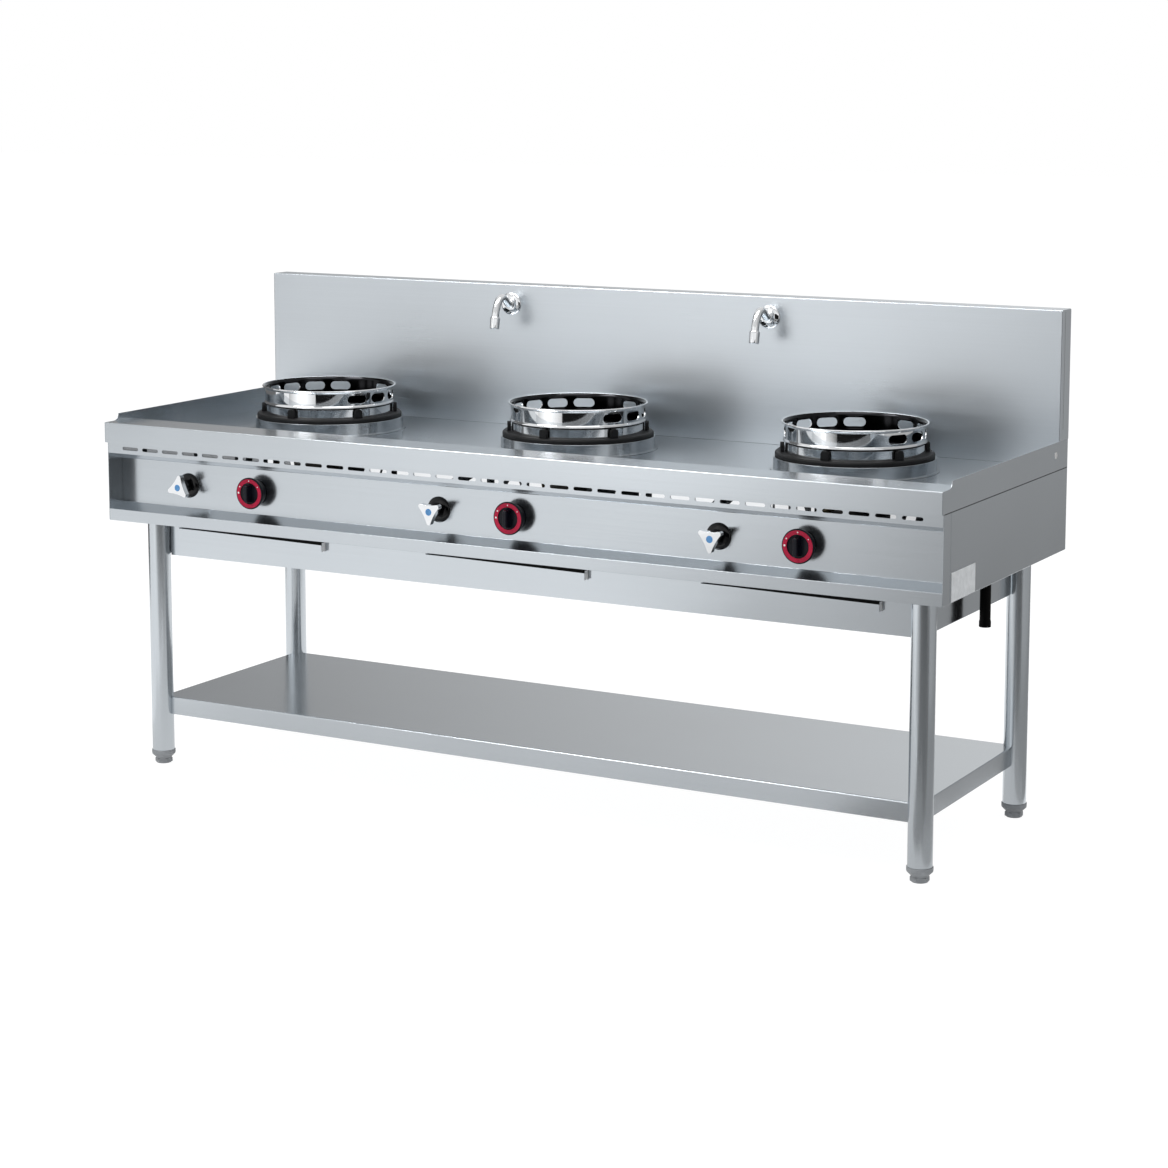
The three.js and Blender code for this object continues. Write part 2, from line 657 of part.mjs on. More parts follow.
function foot() {
  const top = FOOT_H - SEAT_GAP;
  const taper = (FOOT_H + FOOT_PAD_H) / 2;
  const profile = [
    [0, 0], [FOOT_PAD_R, 0], [FOOT_PAD_R, FOOT_PAD_H], [FOOT_COLLAR_R, taper],
    [FOOT_COLLAR_R, top], [FOOT_STEM_R, top], [FOOT_STEM_R, top + FOOT_STEM_H],
    [0, top + FOOT_STEM_H],
  ];
  return solid(lathe(profile, ROUND_SMALL));
}

function shelf() {
  const tray = (inset, z0, z1) => block(
    [-LEG_X + inset, LEG_X - inset], [LEG_FRONT_Y + inset, LEG_REAR_Y - inset], [z0, z1],
  );
  const bottom = SHELF_Z - SHELF_EDGE;
  const shell = cut(tray(0, bottom, SHELF_Z), tray(SHEET, bottom - CUT, SHELF_Z - SHEET));
  const notches = legPlaces().map(({ x, y }) =>
    rodZ(LEG_R + SEAT_GAP, bottom - CUT, SHELF_Z + CUT, x, y, ROUND_MEDIUM));
  return cut(shell, ...notches);
}

function legPlaces() {
  return [
    { name: 'front_left', x: -LEG_X, y: LEG_FRONT_Y },
    { name: 'front_right', x: LEG_X, y: LEG_FRONT_Y },
    { name: 'rear_left', x: -LEG_X, y: LEG_REAR_Y },
    { name: 'rear_right', x: LEG_X, y: LEG_REAR_Y },
  ];
}

// ---- Drip housing, trays and runners ------------------------------------------------

/** Plan of the housing, notched round the front legs, with its walls drawn in. */
function housingPlan(front, inset) {
  const notchX = APRON_HALF_W - inset;
  const notchY = LEG_FRONT_Y + LEG_R + LEG_CLEARANCE + inset;
  const side = HOUSING_HALF_W - inset;
  const rear = HOUSING_REAR_Y - inset;
  return shapeOf([
    [-notchX, front], [notchX, front], [notchX, notchY], [side, notchY], [side, rear],
    [-side, rear], [-side, notchY], [-notchX, notchY],
  ]);
}

/** Deep pan under the burners, open to the front, where the apron closes it. */
function dripHousing() {
  const front = HOUSING_Y + SHEET + SEAT_GAP;
  const box = alongZ(housingPlan(front, 0), HOUSING_BOTTOM_Z, HOUSING_TOP_Z);
  const hollow = alongZ(
    housingPlan(front - CUT, SHEET), HOUSING_BOTTOM_Z + SHEET, HOUSING_TOP_Z + CUT,
  );
  return cut(box, hollow);
}

/** Front sheet of the housing, with a mouth for each tray. */
function dripApron() {
  const slot = TRAY_W / 2 + TRAY_SIDE_FIT;
  const sheet = block(
    [-APRON_HALF_W, APRON_HALF_W],
    [HOUSING_Y, HOUSING_Y + SHEET],
    [HOUSING_BOTTOM_Z, HOUSING_TOP_Z],
  );
  const mouths = MODULE_X.map((x) => block(
    [x - slot, x + slot],
    [HOUSING_Y - CUT, HOUSING_Y + SHEET + CUT],
    [TRAY_SLOT_Z, HOUSING_TOP_Z + CUT],
  ));
  return cut(sheet, ...mouths);
}

function dripTray() {
  const half = TRAY_W / 2;
  const [low, high] = [TRAY_FLOOR_Z, TRAY_FLOOR_Z + TRAY_SIDE_H];
  const lipTop = TRAY_FLOOR_Z + TRAY_FRONT_H;
  const lipY = HOUSING_Y - TRAY_LIP_REACH;
  const pan = block([-half, half], [TRAY_Y, TRAY_REAR_Y], [low, high]);
  const hollow = block(
    [-half + SHEET, half - SHEET], [TRAY_Y + SHEET, TRAY_REAR_Y - SHEET],
    [low + SHEET, high + CUT],
  );
  const lowFront = block(
    [-half + SHEET, half - SHEET], [TRAY_Y - CUT, TRAY_Y + SHEET + CUT], [lipTop, high + CUT],
  );
  const lipTopSheet = block([-half, half], [lipY, TRAY_Y + WELD], [lipTop - SHEET, lipTop]);
  const lipFace = block([-half, half], [lipY, lipY + SHEET], [lipTop - TRAY_LIP_DROP, lipTop]);
  return joined(cut(pan, hollow, lowFront), lipTopSheet, lipFace);
}

function trayRunner() {
  const front = HOUSING_Y + SHEET + SEAT_GAP;
  const rear = HOUSING_REAR_Y - SHEET - SEAT_GAP;
  const outer = TRAY_W / 2 + TRAY_SIDE_FIT + RUNNER_T;
  const level = [RUNNER_Z - RUNNER_T, RUNNER_Z];
  const guide = [RUNNER_Z - RUNNER_T, RUNNER_Z + RUNNER_GUIDE_H];
  const stopY = TRAY_REAR_Y + SEAT_GAP;
  return joined(
    block([-outer, -outer + RUNNER_W], [front, rear], level),
    block([outer - RUNNER_W, outer], [front, rear], level),
    block([-outer, outer], [rear - RUNNER_W, rear], level),
    block([-outer, -outer + RUNNER_T], [front, rear], guide),
    block([outer - RUNNER_T, outer], [front, rear], guide),
    block([-outer, outer], [stopY, stopY + RUNNER_T], guide),
  );
}

// ---- Burner places: collar, pan support, wok ring and burner ------------------------

function burnerCollar() {
  const inner = COLLAR_R - COLLAR_WALL;
  const top = COLLAR_H - COLLAR_WALL;
  return solid(lathe([
    [COLLAR_R + COLLAR_FOOT, 0], [COLLAR_R + COLLAR_FOOT, SHEET], [COLLAR_R, SHEET],
    [COLLAR_R, COLLAR_H], [FLAME_HOLE_R, COLLAR_H], [FLAME_HOLE_R, top], [inner, top],
    [inner, 0],
  ], ROUND));
}

function panSupport() {
  const plate = solid(lathe([
    [SUPPORT_BORE_R, 0], [SUPPORT_R, 0], [SUPPORT_R, SUPPORT_T - SUPPORT_CHAMFER],
    [SUPPORT_R - SUPPORT_CHAMFER, SUPPORT_T], [SUPPORT_BORE_R, SUPPORT_T],
  ], ROUND));
  const inner = RING_BAND_R + LUG_FIT;
  const lugs = Array.from({ length: LUGS }, (_, i) => {
    const lug = new THREE.BoxGeometry(LUG_T, LUG_W, LUG_H + SUPPORT_T / 2);
    lug.translate(inner + LUG_T / 2, 0, (SUPPORT_T / 2 + SUPPORT_T + LUG_H) / 2);
    return solid(lug.rotateZ((2 * Math.PI * (i + 0.5)) / LUGS));
  });
  return joined(plate, ...lugs);
}

function wokRing() {
  const inner = RING_BAND_R - RING_SHEET;
  const wall = RING_BAND_R + RING_STEP;
  const rim = RING_BAND_R + RING_RIM;
  const beadTop = RING_BAND_H + RING_BEAD_H;
  const wallTop = beadTop + RING_WALL_H;
  const top = wallTop + RING_RIM_H;
  const shell = solid(lathe([
    [RING_BAND_R, 0], [RING_BAND_R, RING_BAND_H],
    [RING_BAND_R + RING_BEAD, RING_BAND_H + RING_BEAD_H / 2], [wall, beadTop],
    [wall, wallTop], [rim, top - RING_SHEET], [rim, top], [rim - RING_SHEET, top],
    [wall - RING_SHEET, wallTop], [inner, 0],
  ], ROUND));
  const middle = beadTop + RING_WALL_H / 2;
  const cutters = RING_HOLES.map((place) => {
    const hole = slotPath(0, middle, RING_HOLE_W, RING_HOLE_H);
    const bar = extruded(hole, RING_BAND_R / 2, [1, 0, 0], [0, 0, 1], [0, -1, 0]);
    bar.translate(0, wall + RING_BAND_R / 4, 0);
    return solid(bar.rotateZ((2 * Math.PI * place) / RING_PLACES));
  });
  return cut(shell, ...cutters);
}

function burner() {
  const foot = CHASSIS_TOP_Z + SEAT_GAP;
  const bowl = BURNER_TOP_Z - BURNER_BOWL_H;
  const head = solid(lathe([
    [0, foot], [BURNER_FOOT_R, foot], [BURNER_FOOT_R, foot + BURNER_FOOT_H],
    [BURNER_POST_R, foot + BURNER_FOOT_H], [BURNER_POST_R, bowl], [BURNER_R, bowl + MIXER_R],
    [BURNER_R, BURNER_TOP_Z], [BURNER_R - BURNER_DISH, BURNER_TOP_Z],
    [BURNER_R - BURNER_DISH, BURNER_TOP_Z - BURNER_DISH],
    [BURNER_POST_R, BURNER_TOP_Z - BURNER_DISH], [0, BURNER_TOP_Z],
  ], ROUND_MEDIUM));
  const mouth = MIXER_L - MIXER_MOUTH_R;
  const mixer = solid(latheToFront([
    [0, 0], [MIXER_R, 0], [MIXER_R, mouth], [MIXER_MOUTH_R, MIXER_L],
    [MIXER_R, MIXER_L], [BURNER_POST_R / 2, mouth], [0, mouth],
  ], ROUND_SMALL).translate(0, 0, MIXER_Z));
  return joined(head, mixer);
}

// ---- Gas side -----------------------------------------------------------------------

function gasManifold() {
  const inner = GAS_MANIFOLD_R - GAS_MANIFOLD_WALL;
  const profile = [
    [inner, 0], [GAS_MANIFOLD_R, 0], [GAS_MANIFOLD_R, 2 * MANIFOLD_HALF_W],
    [0, 2 * MANIFOLD_HALF_W], [0, 2 * MANIFOLD_HALF_W - GAS_MANIFOLD_WALL],
    [inner, 2 * MANIFOLD_HALF_W - GAS_MANIFOLD_WALL],
  ];
  const pipe = lathe(profile, ROUND_SMALL).rotateY(Math.PI / 2);
  return solid(pipe.translate(-MANIFOLD_HALF_W, GAS_MANIFOLD_Y, CONTROL_Z));
}

/** Valve body with its spindle, gas tube and injector, for the burner at X 0. */
function gasValve() {
  const body = block(
    [KNOB_DX - GAS_BODY_W / 2, KNOB_DX + GAS_BODY_W / 2],
    [GAS_BODY_FRONT_Y, GAS_BODY_Y],
    [CONTROL_Z - GAS_BODY_H / 2, CONTROL_Z + GAS_BODY_H / 2],
  );
  const noseY = PANEL_Y + SHEET + SEAT_GAP;
  const nose = rodY(GAS_NOSE_R, noseY, GAS_BODY_FRONT_Y + WELD, KNOB_DX, CONTROL_Z);
  const spindleY = PANEL_Y - KNOB_PANEL_FIT - SPINDLE_L;
  const spindle = rodY(SPINDLE_R, spindleY, noseY + WELD, KNOB_DX, CONTROL_Z);
  const outletY = (GAS_BODY_FRONT_Y + GAS_BODY_Y) / 2;
  const bodyTop = CONTROL_Z + GAS_BODY_H / 2 - WELD;
  const injectorY = INJECTOR_REAR_Y - INJECTOR / 2;
  const overZ = CONTROL_Z + GAS_TUBE_RISE;
  const tube = bentRod([
    [KNOB_DX, outletY, bodyTop], [KNOB_DX, outletY, overZ], [KNOB_DX, injectorY, overZ],
    [0, injectorY, overZ], [0, injectorY, MIXER_Z + INJECTOR / 2 - WELD],
  ], GAS_TUBE_R, ROUND_PIPE, 2 * GAS_TUBE_R);
  const injector = block(
    [-INJECTOR / 2, INJECTOR / 2],
    [INJECTOR_REAR_Y - INJECTOR, INJECTOR_REAR_Y],
    [MIXER_Z - INJECTOR / 2, MIXER_Z + INJECTOR / 2],
  );
  return joined(body, nose, spindle, tube, injector);
}

/** Knob on its own axis: flared body, ring face and grip bar, bored for the spindle. */
function gasKnob() {
  const face = KNOB_FACE;
  const back = KNOB_PANEL_FIT;
  const body = solid(latheToFront([
    [0, back], [KNOB_BACK_R, back], [KNOB_R - KNOB_FLARE, face - KNOB_FLANGE_T],
    [KNOB_R, face - KNOB_FLANGE_T + KNOB_EDGE], [KNOB_R, face - KNOB_EDGE],
    [KNOB_R - KNOB_EDGE, face], [0, face],
  ], ROUND_MEDIUM));
  const grip = block(
    [-KNOB_GRIP_W / 2, KNOB_GRIP_W / 2],
    [-face - KNOB_GRIP_H, -face + WELD],
    [-KNOB_GRIP_L / 2, KNOB_GRIP_L / 2],
  );
  const bore = rodY(SPINDLE_R + BORE_FIT, -back - SPINDLE_L - CUT, -back + CUT);
  return cut(joined(body, grip), bore);
}

// ---- Water side ---------------------------------------------------------------------

function waterManifold() {
  const inner = WATER_MANIFOLD_R - SHEET;
  const profile = [
    [inner, 0], [WATER_MANIFOLD_R, 0], [WATER_MANIFOLD_R, 2 * MANIFOLD_HALF_W],
    [0, 2 * MANIFOLD_HALF_W], [0, 2 * MANIFOLD_HALF_W - SHEET],
    [inner, 2 * MANIFOLD_HALF_W - SHEET],
  ];
  const pipe = lathe(profile, ROUND_SMALL).rotateY(Math.PI / 2);
  return solid(pipe.translate(-MANIFOLD_HALF_W, TAP_BODY_Y, WATER_MANIFOLD_Z));
}

/** Tap body with its rosette in front of the panel and its neck to the manifold. */
function waterValve() {
  const half = TAP_BODY_W / 2;
  const body = block(
    [-half, half], [TAP_BODY_FRONT_Y, TAP_BODY_FRONT_Y + TAP_BODY_L],
    [CONTROL_Z - half, CONTROL_Z + half],
  );
  const rosetteY = PANEL_Y - SEAT_GAP;
  const barrel = rodY(TAP_BARREL_R, rosetteY - WELD, TAP_BODY_FRONT_Y + WELD, 0, CONTROL_Z);
  const rosette = solid(latheToFront([
    [0, 0], [TAP_ROSETTE_R, 0], [TAP_ROSETTE_R, ROSETTE_EDGE],
    [TAP_ROSETTE_R - ROSETTE_SLOPE, TAP_ROSETTE_T - ROSETTE_EDGE],
    [TAP_BARREL_R, TAP_ROSETTE_T], [0, TAP_ROSETTE_T],
  ], ROUND_MEDIUM).translate(0, rosetteY, CONTROL_Z));
  const hubY = rosetteY - TAP_ROSETTE_T - KNOB_PANEL_FIT;
  const spindle = rodY(SPINDLE_R, hubY - SPINDLE_L, rosetteY - TAP_ROSETTE_T + WELD, 0,
    CONTROL_Z);
  const neckZ = WATER_MANIFOLD_Z + WATER_MANIFOLD_R + SEAT_GAP;
  const neck = rodZ(WATER_NECK_R, neckZ, CONTROL_Z - half + WELD, 0, TAP_BODY_Y);
  return joined(body, barrel, rosette, spindle, neck);
}

/** Handle on its own axis: three lobes with hollow sides, on a hub. */
function waterHandle() {
  const lobes = new THREE.Shape();
  const tip = TAP_HANDLE_R - TAP_LOBE_TIP;
  const third = (2 * Math.PI) / TAP_LOBES;
  for (let i = 0; i < TAP_LOBES; i += 1) {
    const turn = i * third;
    const spread = Math.PI / TAP_LOBES;
    lobes.absarc(tip * Math.cos(turn), tip * Math.sin(turn), TAP_LOBE_TIP,
      turn - spread, turn + spread, false);
    const waist = turn + third / 2;
    const next = turn + third;
    lobes.quadraticCurveTo(
      TAP_WAIST_R * Math.cos(waist), TAP_WAIST_R * Math.sin(waist),
      tip * Math.cos(next) + TAP_LOBE_TIP * Math.cos(next - spread),
      tip * Math.sin(next) + TAP_LOBE_TIP * Math.sin(next - spread),
    );
  }
  const back = SEAT_GAP + TAP_ROSETTE_T + KNOB_PANEL_FIT;
  const head = alongY(lobes, -TAP_FACE, -TAP_FACE + TAP_HANDLE_T);
  const hub = rodY(TAP_HUB_R, -TAP_FACE + TAP_HANDLE_T - WELD, -back);
  const bore = rodY(SPINDLE_R + BORE_FIT, -back - SPINDLE_L - CUT, -back + CUT);
  return cut(joined(head, hub), bore);
}

/** Where each water tube comes up: two at the spouts, one that rinses the basin. */
function waterTubeEnds() {
  const rinseX = MODULE_X.at(-1) + TAP_DX - WATER_TUBE_JOG;
  return [[-SPOUT_X, SPOUT_Z], [SPOUT_X, SPOUT_Z], [rinseX, WATER_RINSE_Z]];
}

function waterTube(index) {
  const startX = MODULE_X[index] + TAP_DX;
  const runX = startX - WATER_TUBE_JOG;
  const [endX, endZ] = waterTubeEnds()[index];
  const points = [
    [startX, TAP_BODY_Y, WATER_TUBE_START_Z], [startX, TAP_BODY_Y, WATER_TUBE_Z],
    [runX, TAP_BODY_Y + WATER_TUBE_JOG, WATER_TUBE_Z], [runX, RISER_Y, WATER_TUBE_Z],
  ];
  if (endX !== runX) points.push([endX, RISER_Y, WATER_TUBE_Z]);
  points.push([endX, RISER_Y, endZ]);
  if (endZ === SPOUT_Z) points.push([endX, SPLASH_Y, endZ]);
  return bentRod(points, WATER_TUBE_R, ROUND_PIPE, 2 * WATER_TUBE_R);
}

/** Spout on its own place: swan-neck pipe with a six-sided aerator at its end. */
function spout() {
  const start = -ROSETTE_T - 2 * SEAT_GAP;
  const line = [[start - SPOUT_STUB, 0], ...SPOUT_LINE].map(([y, z]) =>
    new THREE.Vector3(0, y, z));
  const curve = new THREE.CatmullRomCurve3(line);
  const stub = new THREE.Vector3(0, start, 0);
  const neck = sweep([stub, ...curve.getPoints(SPOUT_STEPS)], SPOUT_R, ROUND_SMALL);
  const end = line.at(-1);
  const bore = AERATOR_R - AERATOR_WALL;
  const aerator = lathe([
    [0, 0], [AERATOR_R, 0], [AERATOR_R, -AERATOR_L], [bore, -AERATOR_L],
    [bore, AERATOR_DISH - AERATOR_L], [0, AERATOR_DISH - AERATOR_L],
  ], ROUND_FINE);
  aerator.rotateX(THREE.MathUtils.degToRad(-AERATOR_LEAN));
  return joined(neck, solid(aerator.translate(0, end.y, end.z + AERATOR_LAP)));
}

const spoutRosette = () => solid(latheToFront([
  [0, SEAT_GAP], [ROSETTE_R, SEAT_GAP], [ROSETTE_R, ROSETTE_EDGE],
  [ROSETTE_R - ROSETTE_SLOPE, ROSETTE_T / 2], [SPOUT_R + ROSETTE_LAP, ROSETTE_T],
  [0, ROSETTE_T],
], ROUND_MEDIUM));

function drainPipe() {
  const inner = DRAIN_R - DRAIN_WALL;
  const top = BASIN_Z - SHEET - SEAT_GAP;
  return solid(lathe([
    [inner, DRAIN_END_Z], [DRAIN_R, DRAIN_END_Z], [DRAIN_R, top], [inner, top],
  ], ROUND_SMALL));
}

function drainStrainer() {
  const disc = rodZ(STRAINER_R, 0, SHEET, 0, 0, ROUND_MEDIUM);
  const collar = rodZ(DRAIN_R - DRAIN_WALL - SEAT_GAP, -STRAINER_COLLAR_L, WELD);
  const holes = Array.from({ length: STRAINER_HOLES }, (_, i) => {
    const turn = (2 * Math.PI * i) / STRAINER_HOLES;
    return rodZ(STRAINER_HOLE_R, -STRAINER_COLLAR_L - CUT, SHEET + CUT,
      STRAINER_RING_R * Math.cos(turn), STRAINER_RING_R * Math.sin(turn), ROUND_FINE);
  });
  return cut(joined(disc, collar), ...holes);
}

// ---- Assembly -----------------------------------------------------------------------

/** Places a mesh or group and adds it to its parent. */
function place(parent, child, x, y, z) {
  child.position.set(x, y, z);
  parent.add(child);
  return child;
}

const range = new THREE.Group();
range.add(
  piece('worktop', worktop(), BRUSHED),
  piece('splashback', splashback(), BRUSHED),
  piece('vent_strip', ventStrip(), BRUSHED),
  piece('control_panel', controlPanel(), BRUSHED),
  piece('side_panel_left', sidePanel(-1), BRUSHED),
  piece('side_panel_right', sidePanel(1), BRUSHED),
  piece('rear_panel', rearPanel(), BRUSHED),
  piece('chassis_frame', chassisFrame(), GALVANISED),
  piece('shelf', shelf(), BRUSHED),
  piece('drip_housing', dripHousing(), BRIGHT),
  piece('drip_apron', dripApron(), BRIGHT),
  piece('gas_manifold', gasManifold(), GALVANISED),
  piece('water_manifold', waterManifold(), COPPER_TUBE),
);
place(range, piece('drain_pipe', drainPipe(), BLACK_PLASTIC), DRAIN_X, DRAIN_Y, 0);
place(range, piece('drain_strainer', drainStrainer(), CHROME), DRAIN_X, DRAIN_Y,
  BASIN_Z + SEAT_GAP);

for (const { name, x, y } of legPlaces()) {
  place(range, piece(`leg_${name}`, leg(), BRUSHED), x, y, 0);
  place(range, piece(`foot_${name}`, foot(), FOOT_GREY), x, y, 0);
}

for (const [i, x] of MODULE_X.entries()) {
  const n = i + 1;
  const module = place(range, new THREE.Group(), x, 0, 0);
  const supportZ = BASIN_Z + COLLAR_H + 2 * SEAT_GAP;
  place(module, piece(`burner_collar_${n}`, burnerCollar(), BRUSHED), 0, BURNER_Y,
    BASIN_Z + SEAT_GAP);
  place(module, piece(`pan_support_${n}`, panSupport(), CAST_IRON), 0, BURNER_Y, supportZ);
  place(module, piece(`wok_ring_${n}`, wokRing(), CHROME), 0, BURNER_Y,
    supportZ + SUPPORT_T + SEAT_GAP);
  place(module, piece(`burner_${n}`, burner(), CAST_IRON), 0, BURNER_Y, 0);
  place(module, piece(`gas_knob_${n}`, gasKnob(), BLACK_PLASTIC), KNOB_DX, PANEL_Y,
    CONTROL_Z);
  place(module, piece(`water_valve_${n}`, waterValve(), CHROME), TAP_DX, 0, 0);
  const handle = place(module, piece(`water_handle_${n}`, waterHandle(), CHROME), TAP_DX,
    PANEL_Y, CONTROL_Z);
  handle.rotation.y = THREE.MathUtils.degToRad(TAP_TURNS[i]);
  module.add(
    piece(`gas_valve_${n}`, gasValve(), BRASS),
    piece(`drip_tray_${n}`, dripTray(), BRIGHT),
    piece(`tray_runner_${n}`, trayRunner(), GALVANISED),
  );
  range.add(piece(`water_tube_${n}`, waterTube(i), COPPER_TUBE));
}

for (const [side, x] of [['left', -SPOUT_X], ['right', SPOUT_X]]) {
  place(range, piece(`spout_rosette_${side}`, spoutRosette(), CHROME), x, SPLASH_Y, SPOUT_Z);
  place(range, piece(`spout_${side}`, spout(), CHROME), x, SPLASH_Y, SPOUT_Z);
}

export default range;
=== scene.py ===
"""Dresses the wok range: shaped sheet metal, castings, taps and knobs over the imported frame.

Every size is in metres, in the frame's own axes: +X to the right along the front, +Y from
the front to the wall, +Z up, with the origin on the floor under the middle of the range.
"""

import logging
import math
from contextlib import contextmanager
from dataclasses import dataclass, field
from enum import Enum, unique
from functools import cache
from typing import Callable, Iterator, Sequence

import bpy
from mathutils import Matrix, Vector

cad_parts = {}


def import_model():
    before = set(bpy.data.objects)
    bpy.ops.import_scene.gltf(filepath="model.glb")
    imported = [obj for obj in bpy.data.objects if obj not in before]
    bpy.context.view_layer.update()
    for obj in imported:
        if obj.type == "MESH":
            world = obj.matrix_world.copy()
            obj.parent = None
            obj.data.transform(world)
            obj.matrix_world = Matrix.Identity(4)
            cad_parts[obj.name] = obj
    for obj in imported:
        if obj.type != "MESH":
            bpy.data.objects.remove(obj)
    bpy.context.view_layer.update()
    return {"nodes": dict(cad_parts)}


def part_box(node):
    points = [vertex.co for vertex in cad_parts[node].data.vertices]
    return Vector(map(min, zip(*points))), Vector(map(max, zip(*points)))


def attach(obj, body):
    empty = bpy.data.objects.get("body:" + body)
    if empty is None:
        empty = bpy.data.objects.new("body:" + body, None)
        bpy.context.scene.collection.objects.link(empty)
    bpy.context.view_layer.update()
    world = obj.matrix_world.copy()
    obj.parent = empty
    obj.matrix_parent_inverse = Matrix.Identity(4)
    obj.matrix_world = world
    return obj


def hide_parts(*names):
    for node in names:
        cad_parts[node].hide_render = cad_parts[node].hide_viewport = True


LOG = logging.getLogger("wok_range")
FRAME_BODY = "frame"

NEAR = 1e-5  # points closer than this are one
EDGE_REACH = 0.001  # how far from a rim its edges are looked for
ALONG = 0.9  # share of a direction past which it counts as along an axis
BEND_STEPS = 5
FLAT_WEIGHT = 60  # how far flat faces rule the shading beside them

Point2 = tuple[float, float]
Point3 = tuple[float, float, float]
Colour = tuple[float, float, float]
Baffle = tuple[float, float, float, float]
PlaceTest = Callable[[Vector, Vector], bool]


class Domain(Enum):
    """What a selection in edit mode is made of."""

    VERT = "VERT"
    EDGE = "EDGE"
    FACE = "FACE"


class Facing(Enum):
    """Which way the axis of a turned piece or the face of a plate points, as a rotation."""

    UP = (0.0, 0.0, 0.0)
    DOWN = (math.pi, 0.0, 0.0)
    FRONT = (math.pi / 2, 0.0, 0.0)
    BACK = (math.pi / 2, 0.0, math.pi)
    RIGHT = (math.pi / 2, 0.0, math.pi / 2)
    LEFT = (math.pi / 2, 0.0, -math.pi / 2)


class Side(Enum):
    """The left or right end of the range, as the sign of its X."""

    LEFT = -1
    RIGHT = 1

    def __str__(self) -> str:
        """Gives the side's name as the pieces bear it."""
        return self.name.lower()

    def span(self, inner: float, outer: float) -> tuple[float, float]:
        """Gives the lower and the higher X of two distances from the middle."""
        return tuple(sorted((self.value * inner, self.value * outer)))


class Grain(Enum):
    """The way a sheet is brushed, as the share of detail along X, Y and Z."""

    ALONG_X = (0.003, 1.0, 1.0)
    ALONG_Y = (1.0, 0.003, 1.0)
    ALONG_Z = (1.0, 1.0, 0.003)


# ---- Hand tools -----------------------------------------------------------------------


def deselect_all() -> None:
    """Leaves edit mode and clears the selection."""
    if bpy.context.object and bpy.context.object.mode != "OBJECT":
        bpy.ops.object.mode_set(mode="OBJECT")
    bpy.ops.object.select_all(action="DESELECT")


def pick(piece: bpy.types.Object) -> None:
    """Makes one piece the only one selected, and active.

    Args:
        piece: What is picked.
    """
    deselect_all()
    piece.select_set(True)
    bpy.context.view_layer.objects.active = piece


@contextmanager
def editing(piece: bpy.types.Object, domain: Domain = Domain.VERT) -> Iterator[None]:
    """Holds a piece in edit mode.

    Args:
        piece: The mesh to edit.
        domain: What is selected in edit mode.
    """
    pick(piece)
    bpy.ops.object.mode_set(mode="EDIT")
    bpy.ops.mesh.select_mode(type=domain.value)
    yield
    bpy.ops.object.mode_set(mode="OBJECT")


def select_where(piece: bpy.types.Object, domain: Domain, test: PlaceTest) -> None:
    """Enters edit mode with only those elements selected that pass a test.

    Args:
        piece: The mesh to select in.
        domain: Vertices, edges or faces.
        test: Gets an element's middle and its normal, or an edge's direction.
    """
    with editing(piece, domain):
        bpy.ops.mesh.select_all(action="DESELECT")
    mesh = piece.data
    if domain is Domain.VERT:
        for vert in mesh.vertices:
            vert.select = test(vert.co, vert.normal)
    elif domain is Domain.EDGE:
        for edge in mesh.edges:
            first, last = (mesh.vertices[i].co for i in edge.vertices)
            edge.select = test((first + last) / 2, (last - first).normalized())
    else:
        for face in mesh.polygons:
            face.select = test(face.center, face.normal)
    bpy.ops.object.mode_set(mode="EDIT")


def take_off(piece: bpy.types.Object, test: Callable[[Vector], bool]) -> None:
    """Deletes faces.

    Args:
        piece: The mesh.
        test: Tells by its normal whether a face goes.
    """
    select_where(piece, Domain.FACE, lambda _, normal: test(normal))
    bpy.ops.mesh.delete(type="FACE")
    bpy.ops.object.mode_set(mode="OBJECT")


def round_edges(piece: bpy.types.Object, test: PlaceTest, radius: float,
                steps: int = BEND_STEPS, clamp: bool = False) -> None:
    """Rounds those edges that pass a test.

    Args:
        piece: The mesh.
        test: Gets an edge's middle and its direction.
        radius: How far the rounding reaches from the edge.
        steps: Faces across the rounding.
        clamp: Whether roundings stop where they meet.
    """
    select_where(piece, Domain.EDGE, test)
    bpy.ops.mesh.bevel(offset=radius, segments=steps, affect="EDGES", clamp_overlap=clamp)
    bpy.ops.object.mode_set(mode="OBJECT")


def settle(piece: bpy.types.Object) -> bpy.types.Object:
    """Puts a piece's place and turn into its mesh, so that its object sits at the origin.

    Args:
        piece: The mesh.

    Returns:
        The piece.
    """
    pick(piece)
    bpy.ops.object.transform_apply(location=True, rotation=True, scale=True)
    return piece


def put(piece: bpy.types.Object, place: Point3, facing: Facing = Facing.UP,
        roll: float = 0.0) -> bpy.types.Object:
    """Turns a piece made round the Z axis to face one way, and moves it to its place.

    Args:
        piece: The piece, made at the origin.
        place: Where its origin goes.
        facing: Where its Z axis points.
        roll: A turn about its own axis before that, in radians.

    Returns:
        The piece.
    """
    settle(piece)
    if roll:
        piece.rotation_euler = (0.0, 0.0, roll)
        settle(piece)
    piece.rotation_euler = facing.value
    piece.location = place
    return settle(piece)


def modify(piece: bpy.types.Object, kind: str, **settings: object) -> bpy.types.Object:
    """Adds a modifier with its settings and applies it.

    Args:
        piece: The mesh.
        kind: The modifier's type.
        **settings: Its values.

    Returns:
        The piece.
    """
    modifier = piece.modifiers.new(kind.title(), kind)
    for key, value in settings.items():
        setattr(modifier, key, value)
    pick(piece)
    bpy.ops.object.modifier_apply(modifier=modifier.name)
    return piece


